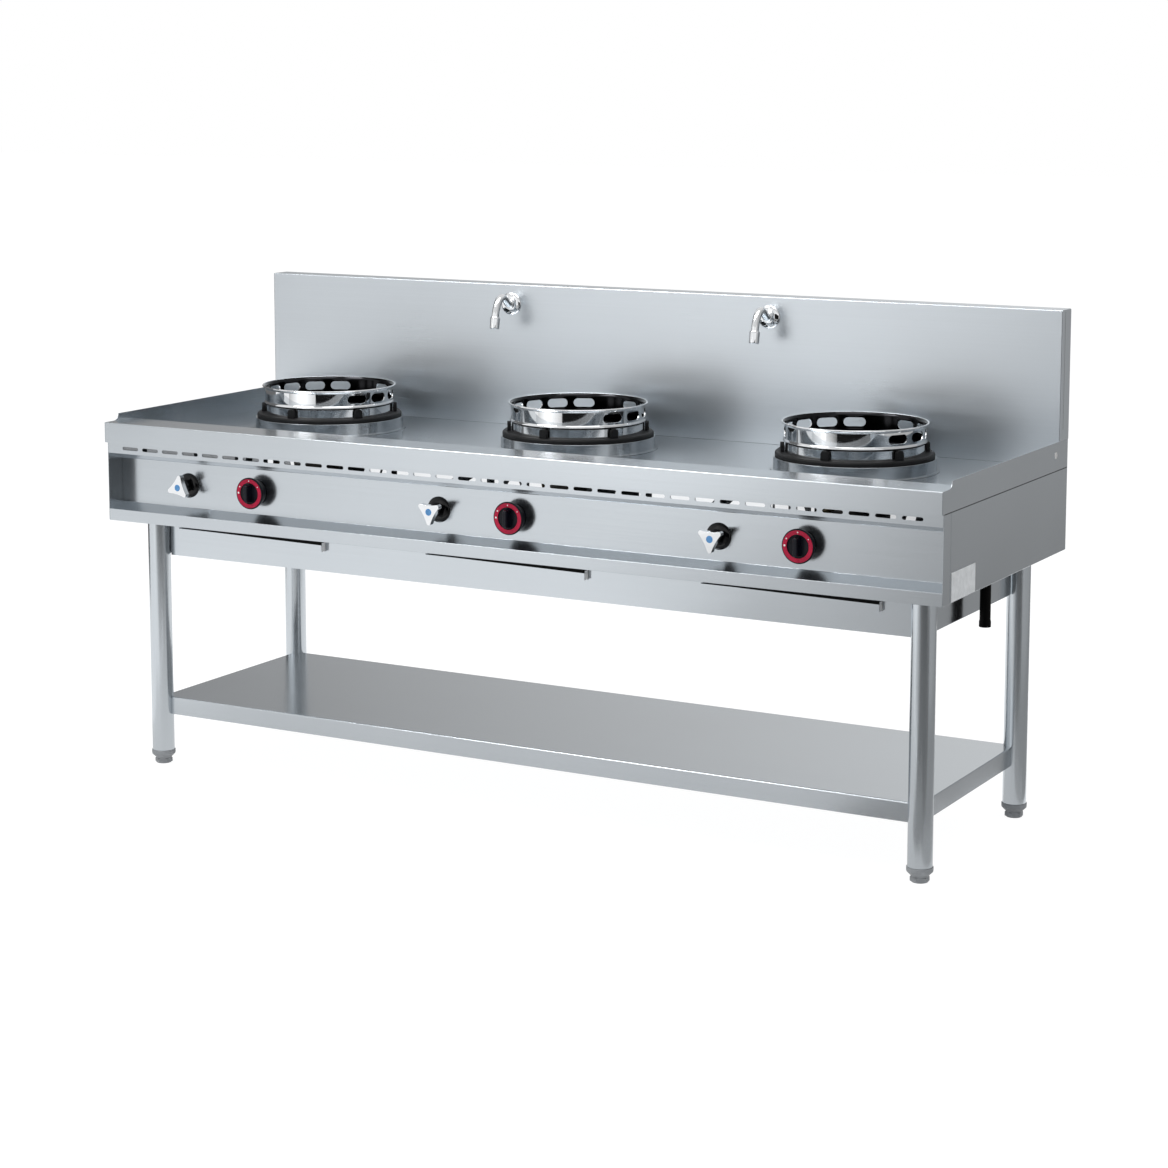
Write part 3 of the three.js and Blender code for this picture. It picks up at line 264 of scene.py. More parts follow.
def ease(piece: bpy.types.Object, width: float, segments: int = 3,
         angle: float = 30.0) -> bpy.types.Object:
    """Rounds a piece's sharp edges and shades it smooth between them.

    Args:
        piece: The mesh.
        width: How far the rounding reaches from the edge.
        segments: Faces across the rounding.
        angle: Edges sharper than this many degrees are rounded.

    Returns:
        The piece.
    """
    modify(piece, "BEVEL", width=width, segments=segments, limit_method="ANGLE",
           angle_limit=math.radians(angle), harden_normals=False)
    return smooth(piece)


def smooth(piece: bpy.types.Object, angle: float = 32.0) -> bpy.types.Object:
    """Shades a piece smooth.

    Args:
        piece: The mesh.
        angle: Edges sharper than this many degrees stay sharp.

    Returns:
        The piece.
    """
    pick(piece)
    bpy.ops.object.shade_smooth_by_angle(angle=math.radians(angle))
    return piece


def even(piece: bpy.types.Object) -> bpy.types.Object:
    """Lets flat faces keep their own shading beside rounded edges."""
    return modify(piece, "WEIGHTED_NORMAL", keep_sharp=True, weight=FLAT_WEIGHT)


def thicken(piece: bpy.types.Object, sheet: float) -> bpy.types.Object:
    """Gives a skin the thickness of its sheet, inwards."""
    return modify(piece, "SOLIDIFY", thickness=sheet, offset=-1, use_even_offset=True)


def heal(piece: bpy.types.Object) -> bpy.types.Object:
    """Merges doubled points and turns all faces outwards.

    Args:
        piece: The mesh.

    Returns:
        The piece.
    """
    with editing(piece):
        bpy.ops.mesh.select_all(action="SELECT")
        bpy.ops.mesh.remove_doubles(threshold=NEAR)
        bpy.ops.mesh.normals_make_consistent(inside=False)
    return piece


def join(name: str, pieces: Sequence[bpy.types.Object]) -> bpy.types.Object:
    """Joins pieces into one.

    Args:
        name: The joined piece's name.
        pieces: What to join.

    Returns:
        The joined piece.
    """
    pick(pieces[0])
    for piece in pieces[1:]:
        piece.select_set(True)
    bpy.ops.object.join()
    pieces[0].name = name
    return pieces[0]


def duplicate(piece: bpy.types.Object, name: str, shift: Point3) -> bpy.types.Object:
    """Copies a piece with its own mesh.

    Args:
        piece: What to copy.
        name: The copy's name.
        shift: How far the copy is moved.

    Returns:
        The copy.
    """
    pick(piece)
    bpy.ops.object.duplicate(linked=False)
    copy = bpy.context.object
    copy.name = name
    copy.location = shift
    return settle(copy)


def block(name: str, low: Point3, high: Point3) -> bpy.types.Object:
    """Adds a box.

    Args:
        name: The piece's name.
        low: Its corner with the lowest X, Y and Z.
        high: The opposite corner.

    Returns:
        The box.
    """
    deselect_all()
    middle = [(a + b) / 2 for a, b in zip(low, high)]
    size = [b - a for a, b in zip(low, high)]
    bpy.ops.mesh.primitive_cube_add(size=1, location=middle, scale=size)
    piece = bpy.context.object
    piece.name = name
    return settle(piece)


def turned(name: str, profile: Sequence[Point2], sides: int) -> bpy.types.Object:
    """Turns a piece round Z: a circle is extruded and resized along a profile.

    Args:
        name: The piece's name.
        profile: Radius and height of each corner. A profile that doesn't touch the axis is
            closed to a ring.
        sides: Faces round the piece.

    Returns:
        The piece, at the origin.
    """
    least = 1e-6
    on_axis = profile[0][0] == 0 and profile[-1][0] == 0
    path = [*profile] if on_axis else [*profile, profile[0]]
    radius, height = max(path[0][0], least), path[0][1]
    deselect_all()
    bpy.ops.mesh.primitive_circle_add(vertices=sides, radius=radius, location=(0, 0, height))
    piece = bpy.context.object
    piece.name = name
    settle(piece)
    with editing(piece):
        bpy.ops.mesh.select_all(action="SELECT")
        for next_radius, next_height in path[1:]:
            wanted = max(next_radius, least)
            bpy.ops.mesh.extrude_region_move(
                TRANSFORM_OT_translate={"value": (0, 0, next_height - height)})
            factor = wanted / radius
            bpy.ops.transform.resize(value=(factor, factor, 1),
                                     center_override=(0, 0, next_height))
            radius, height = wanted, next_height
    return heal(piece)


def fitting(name: str, profile: Sequence[Point2], sides: int, rounding: float, place: Point3,
            facing: Facing = Facing.FRONT, steps: int = 2) -> bpy.types.Object:
    """Turns a piece, rounds its edges and puts it in place.

    Args:
        name: The piece's name.
        profile: Radius and height of each corner.
        sides: Faces round the piece.
        rounding: How far the rounding reaches from each edge.
        place: Where the profile's zero goes.
        facing: Where the piece's axis points.
        steps: Faces across the rounding.

    Returns:
        The piece.
    """
    return put(ease(turned(name, profile, sides), rounding, steps), place, facing)


def punch(radius: float, reach: float, sides: int, place: Point3,
          facing: Facing = Facing.UP) -> bpy.types.Object:
    """Makes a round punch to cut a hole with.

    Args:
        radius: The hole's radius.
        reach: How far the punch goes to either side of its place.
        sides: Faces round the hole.
        place: The punch's middle.
        facing: Where its axis points.

    Returns:
        The punch.
    """
    profile = [(0, -reach), (radius, -reach), (radius, reach), (0, reach)]
    return put(turned("punch", profile, sides), place, facing)


def folded(name: str, line: Sequence[Point2], span: Point2, sheet: float, bend: float,
           turn: float = 0.0) -> bpy.types.Object:
    """Folds a sheet: the edge of a flat strip is extruded from fold to fold.

    Args:
        name: The piece's name.
        line: Y and Z of the outer face's folds, with the outside on the left.
        span: Where the sheet starts and ends along X.
        sheet: The sheet's thickness.
        bend: The radius of the folds.
        turn: A turn about Z at the end, in radians.

    Returns:
        The piece.
    """
    (y0, z0), (y1, z1) = line[:2]
    deselect_all()
    bpy.ops.mesh.primitive_plane_add(
        size=1, location=(sum(span) / 2, (y0 + y1) / 2, (z0 + z1) / 2),
        rotation=(math.atan2(z1 - z0, y1 - y0), 0, 0))
    piece = bpy.context.object
    piece.name = name
    piece.scale = (span[1] - span[0], math.hypot(y1 - y0, z1 - z0), 1)
    settle(piece)
    select_where(piece, Domain.VERT,
                 lambda co, _: math.hypot(co.y - y1, co.z - z1) < NEAR)
    for (ya, za), (yb, zb) in zip(line[1:], line[2:]):
        bpy.ops.mesh.extrude_region_move(
            TRANSFORM_OT_translate={"value": (0, yb - ya, zb - za)})
    bpy.ops.object.mode_set(mode="OBJECT")
    folds = line[1:-1]
    if folds:
        round_edges(piece, lambda co, way: abs(way.x) > ALONG and any(
            math.hypot(co.y - y, co.z - z) < NEAR for y, z in folds), bend, clamp=True)
    thicken(piece, sheet)
    if turn:
        piece.rotation_euler = (0, 0, turn)
        settle(piece)
    return smooth(piece)


def cut_plate(name: str, outlines: Sequence[Sequence[Point2]], thickness: float
              ) -> bpy.types.Object:
    """Cuts a flat plate in the XY plane, from a filled curve.

    Args:
        name: The piece's name.
        outlines: The outer outline, then that of each hole.
        thickness: The plate's thickness, half above and half below Z 0.

    Returns:
        The plate as a mesh.
    """
    deselect_all()
    bpy.ops.curve.primitive_bezier_circle_add()
    piece = bpy.context.object
    piece.name = name
    curve = piece.data
    curve.dimensions = "2D"
    curve.fill_mode = "BOTH"
    curve.extrude = thickness / 2
    curve.splines.clear()
    for outline in outlines:
        spline = curve.splines.new("POLY")
        spline.points.add(len(outline) - 1)
        for point, (u, v) in zip(spline.points, outline):
            point.co = (u, v, 0, 1)
        spline.use_cyclic_u = True
    pick(piece)
    bpy.ops.object.convert(target="MESH")
    return heal(bpy.context.object)


def bent_tube(name: str, points: Sequence[Point3], radius: float, rings: int = 16,
              smoothness: int = 12) -> bpy.types.Object:
    """Bends a solid round bar through points.

    Args:
        name: The piece's name.
        points: The points that the middle runs near.
        radius: The bar's radius.
        rings: Quality of the round section.
        smoothness: Steps between two points.

    Returns:
        The bar as a mesh.
    """
    deselect_all()
    bpy.ops.curve.primitive_nurbs_path_add()
    piece = bpy.context.object
    piece.name = name
    curve = piece.data
    spline = curve.splines[0]
    spline.points.add(max(0, len(points) - len(spline.points)))
    for point, place in zip(spline.points, points):
        point.co = (*place, 1)
    spline.use_endpoint_u = True
    spline.order_u = 4
    spline.resolution_u = smoothness
    curve.bevel_depth = radius
    curve.bevel_resolution = rings // 4
    curve.use_fill_caps = True
    pick(piece)
    bpy.ops.object.convert(target="MESH")
    return heal(bpy.context.object)


def cut_with(piece: bpy.types.Object, cutters: Sequence[bpy.types.Object]) -> bpy.types.Object:
    """Cuts pieces out of another, and throws the cutters away.

    Args:
        piece: What is cut.
        cutters: The shapes to cut out, which don't overlap each other.

    Returns:
        The cut piece.
    """
    tool = join("cutter", cutters)
    modify(piece, "BOOLEAN", operation="DIFFERENCE", solver="EXACT", object=tool)
    bpy.data.objects.remove(tool)
    return piece


def weld(piece: bpy.types.Object, other: bpy.types.Object) -> bpy.types.Object:
    """Melts one piece into another, so that no wall is left between them.

    Args:
        piece: The piece that stays.
        other: The piece that goes into it.

    Returns:
        The piece that stays.
    """
    modify(piece, "BOOLEAN", operation="UNION", solver="EXACT", object=other)
    bpy.data.objects.remove(other)
    return piece


def slot_outline(u: float, v: float, width: float, height: float, steps: int = 10
                 ) -> list[Point2]:
    """Outlines a slot with round ends.

    Args:
        u: Middle of the slot across.
        v: Middle of the slot upwards.
        width: Its length from end to end.
        height: Its width.
        steps: Straight steps round each end.

    Returns:
        The outline's points.
    """
    reach, radius = (width - height) / 2, height / 2
    points = []
    for side in (1, -1):
        for i in range(steps + 1):
            turn = math.pi * (i / steps - 0.5)
            points.append((u + side * (reach + radius * math.cos(turn)),
                           v + side * radius * math.sin(turn)))
    return points


# ---- Finishes -------------------------------------------------------------------------


class Graph:
    """A material's node tree, with short ways to add what the finishes share."""

    def __init__(self, name: str) -> None:
        """Starts a material with only its surface shader and output.

        Args:
            name: The material's name.
        """
        self.material = bpy.data.materials.new(name)
        self.material.use_nodes = True
        self.tree = self.material.node_tree
        self.shader = self.tree.nodes["Principled BSDF"]
        self.place = self.add("ShaderNodeTexCoord").outputs["Object"]

    def add(self, kind: str, **values: object) -> bpy.types.Node:
        """Adds a node and sets its properties and inputs.

        Args:
            kind: The node's type.
            **values: Properties by name, or inputs by name.

        Returns:
            The node.
        """
        node = self.tree.nodes.new(kind)
        for key, value in values.items():
            if hasattr(node, key):
                setattr(node, key, value)
            else:
                node.inputs[key].default_value = value
        return node

    def link(self, source: bpy.types.NodeSocket, target: bpy.types.NodeSocket) -> None:
        """Joins an output to an input."""
        self.tree.links.new(source, target)

    def noise(self, scale: Sequence[float], detail: float = 2.0,
              roughness: float = 0.5) -> bpy.types.NodeSocket:
        """Adds a noise pattern on the object's own place.

        Args:
            scale: Detail per metre along X, Y and Z.
            detail: Octaves of the noise.
            roughness: How strong the finer octaves are.

        Returns:
            The pattern's value, about 0.5 in the middle.
        """
        mapping = self.add("ShaderNodeMapping", Scale=tuple(scale))
        self.link(self.place, mapping.inputs["Vector"])
        noise = self.add("ShaderNodeTexNoise", Scale=1.0, Detail=detail, Roughness=roughness)
        self.link(mapping.outputs["Vector"], noise.inputs["Vector"])
        return noise.outputs["Fac"]

    def spread(self, value: bpy.types.NodeSocket, low: float, high: float,
               start: float = 0.3, end: float = 0.7) -> bpy.types.NodeSocket:
        """Spreads a pattern's value between two numbers.

        Args:
            value: The pattern.
            low: What start becomes.
            high: What end becomes.
            start: Low end of the pattern.
            end: High end of the pattern.

        Returns:
            The spread value.
        """
        node = self.add("ShaderNodeMapRange")
        for i, number in zip((1, 2, 3, 4), (start, end, low, high)):
            node.inputs[i].default_value = number
        self.link(value, node.inputs[0])
        return node.outputs[0]

    def blend(self, share: bpy.types.NodeSocket, first: Colour, second: Colour
              ) -> bpy.types.NodeSocket:
        """Mixes two colours by a pattern.

        Args:
            share: The pattern, from 0 to 1.
            first: The colour at 0.
            second: The colour at 1.

        Returns:
            The mixed colour.
        """
        node = self.add("ShaderNodeMix", data_type="RGBA")
        colour_inputs = [socket for socket in node.inputs if socket.type == "RGBA"]
        for socket, colour in zip(colour_inputs, (first, second)):
            socket.default_value = (*colour, 1.0)
        self.link(share, node.inputs[0])
        return next(socket for socket in node.outputs if socket.type == "RGBA")

    def sum(self, first: bpy.types.NodeSocket, second: bpy.types.NodeSocket
            ) -> bpy.types.NodeSocket:
        """Adds two values.

        Args:
            first: One value.
            second: The other.

        Returns:
            Their sum.
        """
        node = self.add("ShaderNodeMath", operation="ADD")
        self.link(first, node.inputs[0])
        self.link(second, node.inputs[1])
        return node.outputs[0]

    def relief(self, height: bpy.types.NodeSocket, strength: float, distance: float) -> None:
        """Bumps the surface by a pattern.

        Args:
            height: The pattern.
            strength: How strong the bumps look.
            distance: How high they are, in metres.
        """
        bump = self.add("ShaderNodeBump", Strength=strength, Distance=distance)
        self.link(height, bump.inputs["Height"])
        self.link(bump.outputs["Normal"], self.shader.inputs["Normal"])

    def base(self, colour: bpy.types.NodeSocket, roughness: bpy.types.NodeSocket,
             metallic: float = 0.0) -> None:
        """Feeds the shader its colour and roughness, and sets how metallic it is.

        Args:
            colour: The colour pattern.
            roughness: The roughness pattern.
            metallic: 1 for metal, 0 for the rest.
        """
        self.link(colour, self.shader.inputs["Base Color"])
        self.link(roughness, self.shader.inputs["Roughness"])
        self.shader.inputs["Metallic"].default_value = metallic


def shade(colour: Colour, factor: float) -> Colour:
    """Darkens or lightens a colour by a factor."""
    return tuple(min(1.0, part * factor) for part in colour)


@dataclass(frozen=True)
class BrushedSteel:
    """Stainless sheet with a fine brushed grain, soft smears and small handling marks."""

    tone: Colour
    roughness: float
    grain: Grain = Grain.ALONG_X
    streak: float = 0.025
    relief: float = 0.04
    scratches: float = 1400.0
    bands: float = 260.0
    smears: Point3 = (2.3, 2.9, 2.6)
    contrast: float = 0.035

    def material(self, name: str) -> bpy.types.Material:
        """Builds the material.

        Args:
            name: The material's name.

        Returns:
            The material.
        """
        graph = Graph(name)
        fine = graph.noise([self.scratches * share for share in self.grain.value], 3.0, 0.6)
        coarse = graph.noise([self.bands * share for share in self.grain.value])
        smear = graph.noise(self.smears, 3.0)
        marks = graph.sum(graph.spread(coarse, -0.12, 0.12), graph.spread(smear, -0.3, 0.3))
        colour = graph.blend(graph.spread(marks, 0.0, 1.0, -0.4, 0.4),
                             shade(self.tone, 1 - self.contrast),
                             shade(self.tone, 1 + self.contrast))
        rough = graph.sum(
            graph.spread(fine, self.roughness - self.streak, self.roughness + self.streak),
            graph.spread(smear, -0.025, 0.03))
        graph.base(colour, rough, 1.0)
        graph.relief(fine, self.relief, 0.0002)
        return graph.material


@dataclass(frozen=True)
class Chrome:
    """Polished plating with faint waviness and wipe marks."""

    tone: Colour
    roughness: float
    wipes: Point3 = (24.0, 30.0, 95.0)
    waves: Point3 = (14.0, 14.0, 14.0)

    def material(self, name: str) -> bpy.types.Material:
        """Builds the material.

        Args:
            name: The material's name.

        Returns:
            The material.
        """
        graph = Graph(name)
        wipe = graph.noise(self.wipes, 4.0, 0.6)
        wave = graph.noise(self.waves, 1.0)
        colour = graph.blend(graph.spread(wipe, 0.0, 1.0), shade(self.tone, 0.95), self.tone)
        graph.base(colour, graph.spread(wipe, self.roughness, self.roughness + 0.04), 1.0)
        graph.relief(wave, 0.05, 0.002)
        return graph.material


@dataclass(frozen=True)
class CastIron:
    """Matt black casting with a sandy skin and paler worn spots."""

    tone: Colour
    worn: Colour
    grit: Point3 = (620.0, 620.0, 620.0)
    stains: Point3 = (22.0, 22.0, 22.0)
    gloss: float = 0.2

    def material(self, name: str) -> bpy.types.Material:
        """Builds the material.

        Args:
            name: The material's name.

        Returns:
            The material.
        """
        graph = Graph(name)
        sand = graph.noise(self.grit, 4.0, 0.65)
        stain = graph.noise(self.stains, 4.0, 0.6)
        graph.base(graph.blend(graph.spread(stain, 0.0, 1.0, 0.42, 0.75), self.tone, self.worn),
                   graph.spread(sand, 0.45, 0.65), 0.2)
        graph.relief(sand, 0.45, 0.0009)
        graph.shader.inputs["Specular IOR Level"].default_value = self.gloss
        return graph.material


@dataclass(frozen=True)
class Moulded:
    """Moulded or enamelled surface with a fine skin and a few scuffs."""

    tone: Colour
    roughness: float
    skin: float = 0.15
    gloss: float = 0.5
    grains: Point3 = (1500.0, 1500.0, 1500.0)
    scuffs: Point3 = (60.0, 60.0, 60.0)

    def material(self, name: str) -> bpy.types.Material:
        """Builds the material.

        Args:
            name: The material's name.

        Returns:
            The material.
        """
        graph = Graph(name)
        grain = graph.noise(self.grains)
        scuff = graph.noise(self.scuffs, 5.0, 0.65)
        graph.base(graph.blend(graph.spread(scuff, 0.0, 1.0), shade(self.tone, 0.88),
                               shade(self.tone, 1.12)),
                   graph.spread(scuff, self.roughness - 0.05, self.roughness + 0.09))
        graph.relief(grain, self.skin, 0.0002)
        graph.shader.inputs["Specular IOR Level"].default_value = self.gloss
        return graph.material


@dataclass(frozen=True)
class Galvanised:
    """Zinc-coated steel with crystal spangle and dull patches."""

    tone: Colour
    roughness: float
    crystals: Point3 = (95.0, 95.0, 95.0)
    patches: Point3 = (9.0, 9.0, 9.0)

    def material(self, name: str) -> bpy.types.Material:
        """Builds the material.

        Args:
            name: The material's name.

        Returns:
            The material.
        """
        graph = Graph(name)
        mapping = graph.add("ShaderNodeMapping", Scale=self.crystals)
        graph.link(graph.place, mapping.inputs["Vector"])
        spangle = graph.add("ShaderNodeTexVoronoi", Scale=1.0)
        graph.link(mapping.outputs["Vector"], spangle.inputs["Vector"])
        bright = graph.add("ShaderNodeSeparateColor")
        graph.link(spangle.outputs["Color"], bright.inputs[0])
        dull = graph.noise(self.patches, 3.0)
        share = graph.sum(graph.spread(bright.outputs[0], 0.0, 0.6, 0.0, 1.0),
                          graph.spread(dull, -0.1, 0.4))
        graph.base(graph.blend(share, shade(self.tone, 0.78), shade(self.tone, 1.1)),
                   graph.spread(share, self.roughness + 0.12, self.roughness - 0.08, 0.0, 1.0),
                   1.0)
        graph.relief(dull, 0.1, 0.001)
        return graph.material


STEEL_TONE = (0.53, 0.565, 0.596)


@unique
class Finish(Enum):
    """Every finish on the range. Its material bears the same name in lower case."""

    BRUSHED_FRONT = BrushedSteel(STEEL_TONE, 0.2)
    BRUSHED_SPLASH = BrushedSteel(shade(STEEL_TONE, 1.06), 0.31, relief=0.02)
    BRUSHED_TOP = BrushedSteel(shade(STEEL_TONE, 1.02), 0.2, relief=0.02)
    BRUSHED_SIDE = BrushedSteel(shade(STEEL_TONE, 0.95), 0.24, Grain.ALONG_Y)
    BRUSHED_LEG = BrushedSteel(shade(STEEL_TONE, 1.03), 0.2, Grain.ALONG_Z)
    BRIGHT_FRONT = BrushedSteel(shade(STEEL_TONE, 1.05), 0.17, streak=0.02)
    BRIGHT_SIDE = BrushedSteel(shade(STEEL_TONE, 1.05), 0.14, Grain.ALONG_Y, streak=0.02)
    # Turned steel with a vertical grain; its tone is darkened as painted shade, for the darker
    # reflections on the collars.
    COLLAR_STEEL = BrushedSteel(shade(STEEL_TONE, 0.85), 0.15, Grain.ALONG_Z)
    DRAWN_TUBE = BrushedSteel(shade(STEEL_TONE, 0.95), 0.3, streak=0.04)
    # Steel screw heads given a near-white tone: a painted highlight.
    SCREW_STEEL = BrushedSteel((0.9, 0.9, 0.9), 0.5)
    MACHINED_BRASS = BrushedSteel((0.56, 0.41, 0.17), 0.3)
    POLISHED_CHROME = Chrome((0.82, 0.835, 0.85), 0.02)
    # Near-black chrome for the wok rings' inner walls: a painted dark reflection.
    PAINTED_REFLECTION_CHROME = Chrome((0.022, 0.022, 0.024), 0.1)
    CAST_BLACK = CastIron((0.005, 0.0055, 0.006), (0.012, 0.012, 0.013))
    BURNER_IRON = CastIron((0.05, 0.047, 0.045), (0.11, 0.1, 0.095))
    KNOB_BLACK = Moulded((0.004, 0.0045, 0.009), 0.3, gloss=0.2)
    KNOB_RED = Moulded((0.43, 0.005, 0.04), 0.3, gloss=0.2)
    INK_WHITE = Moulded((0.82, 0.82, 0.8), 0.45)
    # White for the trays' lip end tabs, which are steel: a painted highlight.
    PAINTED_HIGHLIGHT_WHITE = Moulded((0.88, 0.88, 0.88), 0.3)
    CAP_BLUE = Moulded((0.07, 0.24, 0.5), 0.3)
    TAP_BLACK = Moulded((0.002, 0.002, 0.0025), 0.08, skin=0.05, gloss=0.3)
    FOOT_GREY = Moulded((0.27, 0.28, 0.29), 0.45, skin=0.3)
    # Black for the drain pipe, and for the strips that paint the shadow above the tray lips.
    DRAIN_BLACK = Moulded((0.002, 0.002, 0.002), 0.35, skin=0.3, gloss=0.05)
    # Dark matt finish for the splashback's seam marks and the underside screws, and for the strip
    # that paints the shadow in the worktop's joint.
    DARK_TRIM_AND_SHADOW = Moulded((0.03, 0.031, 0.034), 0.7, skin=0.4)
    PLATE_PALE = Moulded((0.72, 0.73, 0.73), 0.4)
    ZINC = Galvanised((0.44, 0.46, 0.48), 0.42)


@cache
def finish_of(finish: Finish) -> bpy.types.Material:
    """Gives the material of a finish, built at its first use."""
    return finish.value.material(finish.name.lower())


def dress(piece: bpy.types.Object, finish: Finish) -> bpy.types.Object:
    """Gives all of a piece one finish.

    Args:
        piece: The mesh.
        finish: What it is given.

    Returns:
        The piece.
    """
    piece.data.materials.clear()
    piece.data.materials.append(finish_of(finish))
    return piece


def mount(piece: bpy.types.Object, body: str, finish: Finish, slot: str,
          *nodes: str) -> bpy.types.Object:
    """Dresses a finished piece and fixes it to its body.

    Args:
        piece: The piece, in place.
        body: The body it moves with.
        finish: Its finish.
        slot: The record's material slot; not used.
        *nodes: The frame's nodes that it stands for.

    Returns:
        The piece.
    """
    dress(even(piece), finish)
    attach(piece, body)
    if nodes:
        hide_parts(*nodes)
    LOG.info("%s on %s, %d faces", piece.name, body, len(piece.data.polygons))
    return piece


# ---- Sheet metal ----------------------------------------------------------------------


@dataclass
class Worktop:
    """The recessed worktop: folded top sheet, side plates with a swept upstand, and a dark strip
    under the fascia that paints the shadow in the joint.
    """

    half_width: float = 1.0
    front: float = -0.35
    rear: float = 0.3482
    wall: float = 0.35
    rim_z: float = 0.79
    fascia: float = 0.045
    rim_depth: float = 0.09
    drop: float = 0.037
    rise: float = 0.015
    setback: float = 0.033
    sweep: float = 0.015
    inset: float = 0.0008
    sheet: float = 0.0015
    bend: float = 0.0026
    flame_hole: float = 0.15
    drain_hole: float = 0.0105
    burner_x: tuple[float, ...] = (-0.672, -0.015, 0.642)
    burner_y: float = 0.057
    drain: Point2 = (0.95, 0.014)
    sweep_steps: int = 8
    # Where the dark strip that paints the joint's shadow starts, behind the front and behind each
    # side.
    seal_setback: Point2 = (0.0088, 0.02)
    side_seal_setback: float = 0.012

    def build(self) -> None:
        """Makes the top sheet, the side plates and the dark strip under the fascia that paints
        the joint's shadow.
        """
        self.build_sheet()
        for side in Side:
            self.build_side(side)
        self.build_seal()

    def build_sheet(self) -> None:
        """Folds the top sheet and cuts its holes."""
        bottom, basin = self.rim_z - self.fascia, self.rim_z - self.drop
        step = self.front + self.rim_depth
        line = [(self.front, bottom), (self.front, self.rim_z), (step, self.rim_z),
                (step, basin), (self.rear, basin)]
        inner = self.half_width - self.sheet
        top = folded("worktop_sheet", line, (-inner, inner), self.sheet, self.bend)
        cutters = [punch(self.flame_hole, 0.01, 96, (x, self.burner_y, basin))
                   for x in self.burner_x]
        cutters.append(punch(self.drain_hole, 0.01, 96, (*self.drain, basin)))
        smooth(cut_with(top, cutters))
        mount(top, FRAME_BODY, Finish.BRUSHED_TOP, "brushed_stainless", "worktop")

    def build_side(self, side: Side) -> None:
        """Cuts one side plate, with the sweep at the front of its upstand.

        Args:
            side: The end of the worktop that it closes.
        """
        bottom, top = self.rim_z - self.fascia, self.rim_z + self.rise
        foot = self.front + self.setback
        curve = []
        for i in range(self.sweep_steps + 1):
            turn = math.pi / 2 * i / self.sweep_steps
            curve.append((foot + self.sweep * math.sin(turn),
                          top - self.rise * math.cos(turn)))
        outline = [(self.front, bottom), (self.wall, bottom), (self.wall, top),
                   *reversed(curve), (self.front, self.rim_z)]
        plate = cut_plate(f"worktop_side_{side}", [outline], self.sheet)
        put(plate, (side.value * (self.half_width - self.inset - self.sheet / 2), 0, 0),
            Facing.RIGHT)
        ease(plate, 0.0004, 2, 60)
        mount(plate, FRAME_BODY, Finish.BRUSHED_SIDE, "brushed_stainless")

    def build_seal(self) -> None:
        """Lays a dark strip in the joint under the worktop: painted shadow of the gap there."""
        z0, z1 = self.rim_z - self.fascia - 0.0012, self.rim_z - self.fascia + 0.0006
        reach = self.half_width - 0.0011
        y0, y1 = (self.front + setback for setback in self.seal_setback)
        strips = [block("seal", (-reach, y0, z0), (reach, y1, z1))]
        for side in Side:
            x0, x1 = side.span(reach - 0.004, reach + 0.0008)
            strips.append(block("seal", (x0, self.front + self.side_seal_setback, z0),
                                (x1, self.rear, z1)))
        # A dark strip along the joint: painted shadow.
        seal = ease(join("worktop_seal", strips), 0.0003, 1, 60)
        mount(seal, FRAME_BODY, Finish.DARK_TRIM_AND_SHADOW, "black_plastic")


@dataclass
class Splashback:
    """The upright splashback: a shallow tray shape with a skirt into the basin."""

    half_width: float = 1.0
    front: float = 0.3
    rear: float = 0.35
    base: float = 0.8053
    top: float = 1.079
    inset: float = 0.0001
    skirt_half: float = 0.9982
    skirt_z: float = 0.7533
    sheet: float = 0.0015
    bend: float = 0.003
    seam: Point3 = (0.001, 0.0012, 0.0145)
    seam_ends: Point2 = (0.022, 0.004)

    def build(self) -> None:
        """Makes the shell, its skirt and the seam at each end."""
        self.build_shell()
        self.build_skirt()
        self.build_seams()

    def build_shell(self) -> None:
        """Folds the front sheet back along its top and both ends."""
        reach = self.half_width - self.inset
        shell = block("splashback_shell", (-reach, self.front, self.base),
                      (reach, self.rear, self.top))
        take_off(shell, lambda normal: normal.y > ALONG or normal.z < -ALONG)
        front, top = self.front + EDGE_REACH, self.top - EDGE_REACH
        round_edges(shell, lambda co, way: (
            (abs(way.x) > ALONG and co.y < front and co.z > top)
            or (abs(way.z) > ALONG and co.y < front)
            or (abs(way.y) > ALONG and co.z > top)), self.bend)
        thicken(shell, self.sheet)
        mount(smooth(shell), FRAME_BODY, Finish.BRUSHED_SPLASH, "brushed_stainless", "splashback")

    def build_skirt(self) -> None:
        """Hangs the flat skirt from the shell into the basin."""
        line = [(self.front, self.skirt_z), (self.front, self.base + 0.0002)]
        skirt = folded("splashback_skirt", line, (-self.skirt_half, self.skirt_half),
                       self.sheet, self.bend)
        mount(skirt, FRAME_BODY, Finish.BRUSHED_SPLASH, "brushed_stainless")

    def build_seams(self) -> None:
        """Marks where the front skin meets each end cap."""
        depth, width, setback = self.seam
        below, above = self.seam_ends
        y = self.front + setback
        lines = []
        for side in Side:
            x0, x1 = side.span(self.half_width - depth, self.half_width)
            lines.append(block("seam", (x0, y, self.base + below),
                               (x1, y + width, self.top - above)))
        seam = ease(join("splashback_seams", lines), 0.0003, 2, 60)
        mount(seam, FRAME_BODY, Finish.DARK_TRIM_AND_SHADOW, "black_plastic")


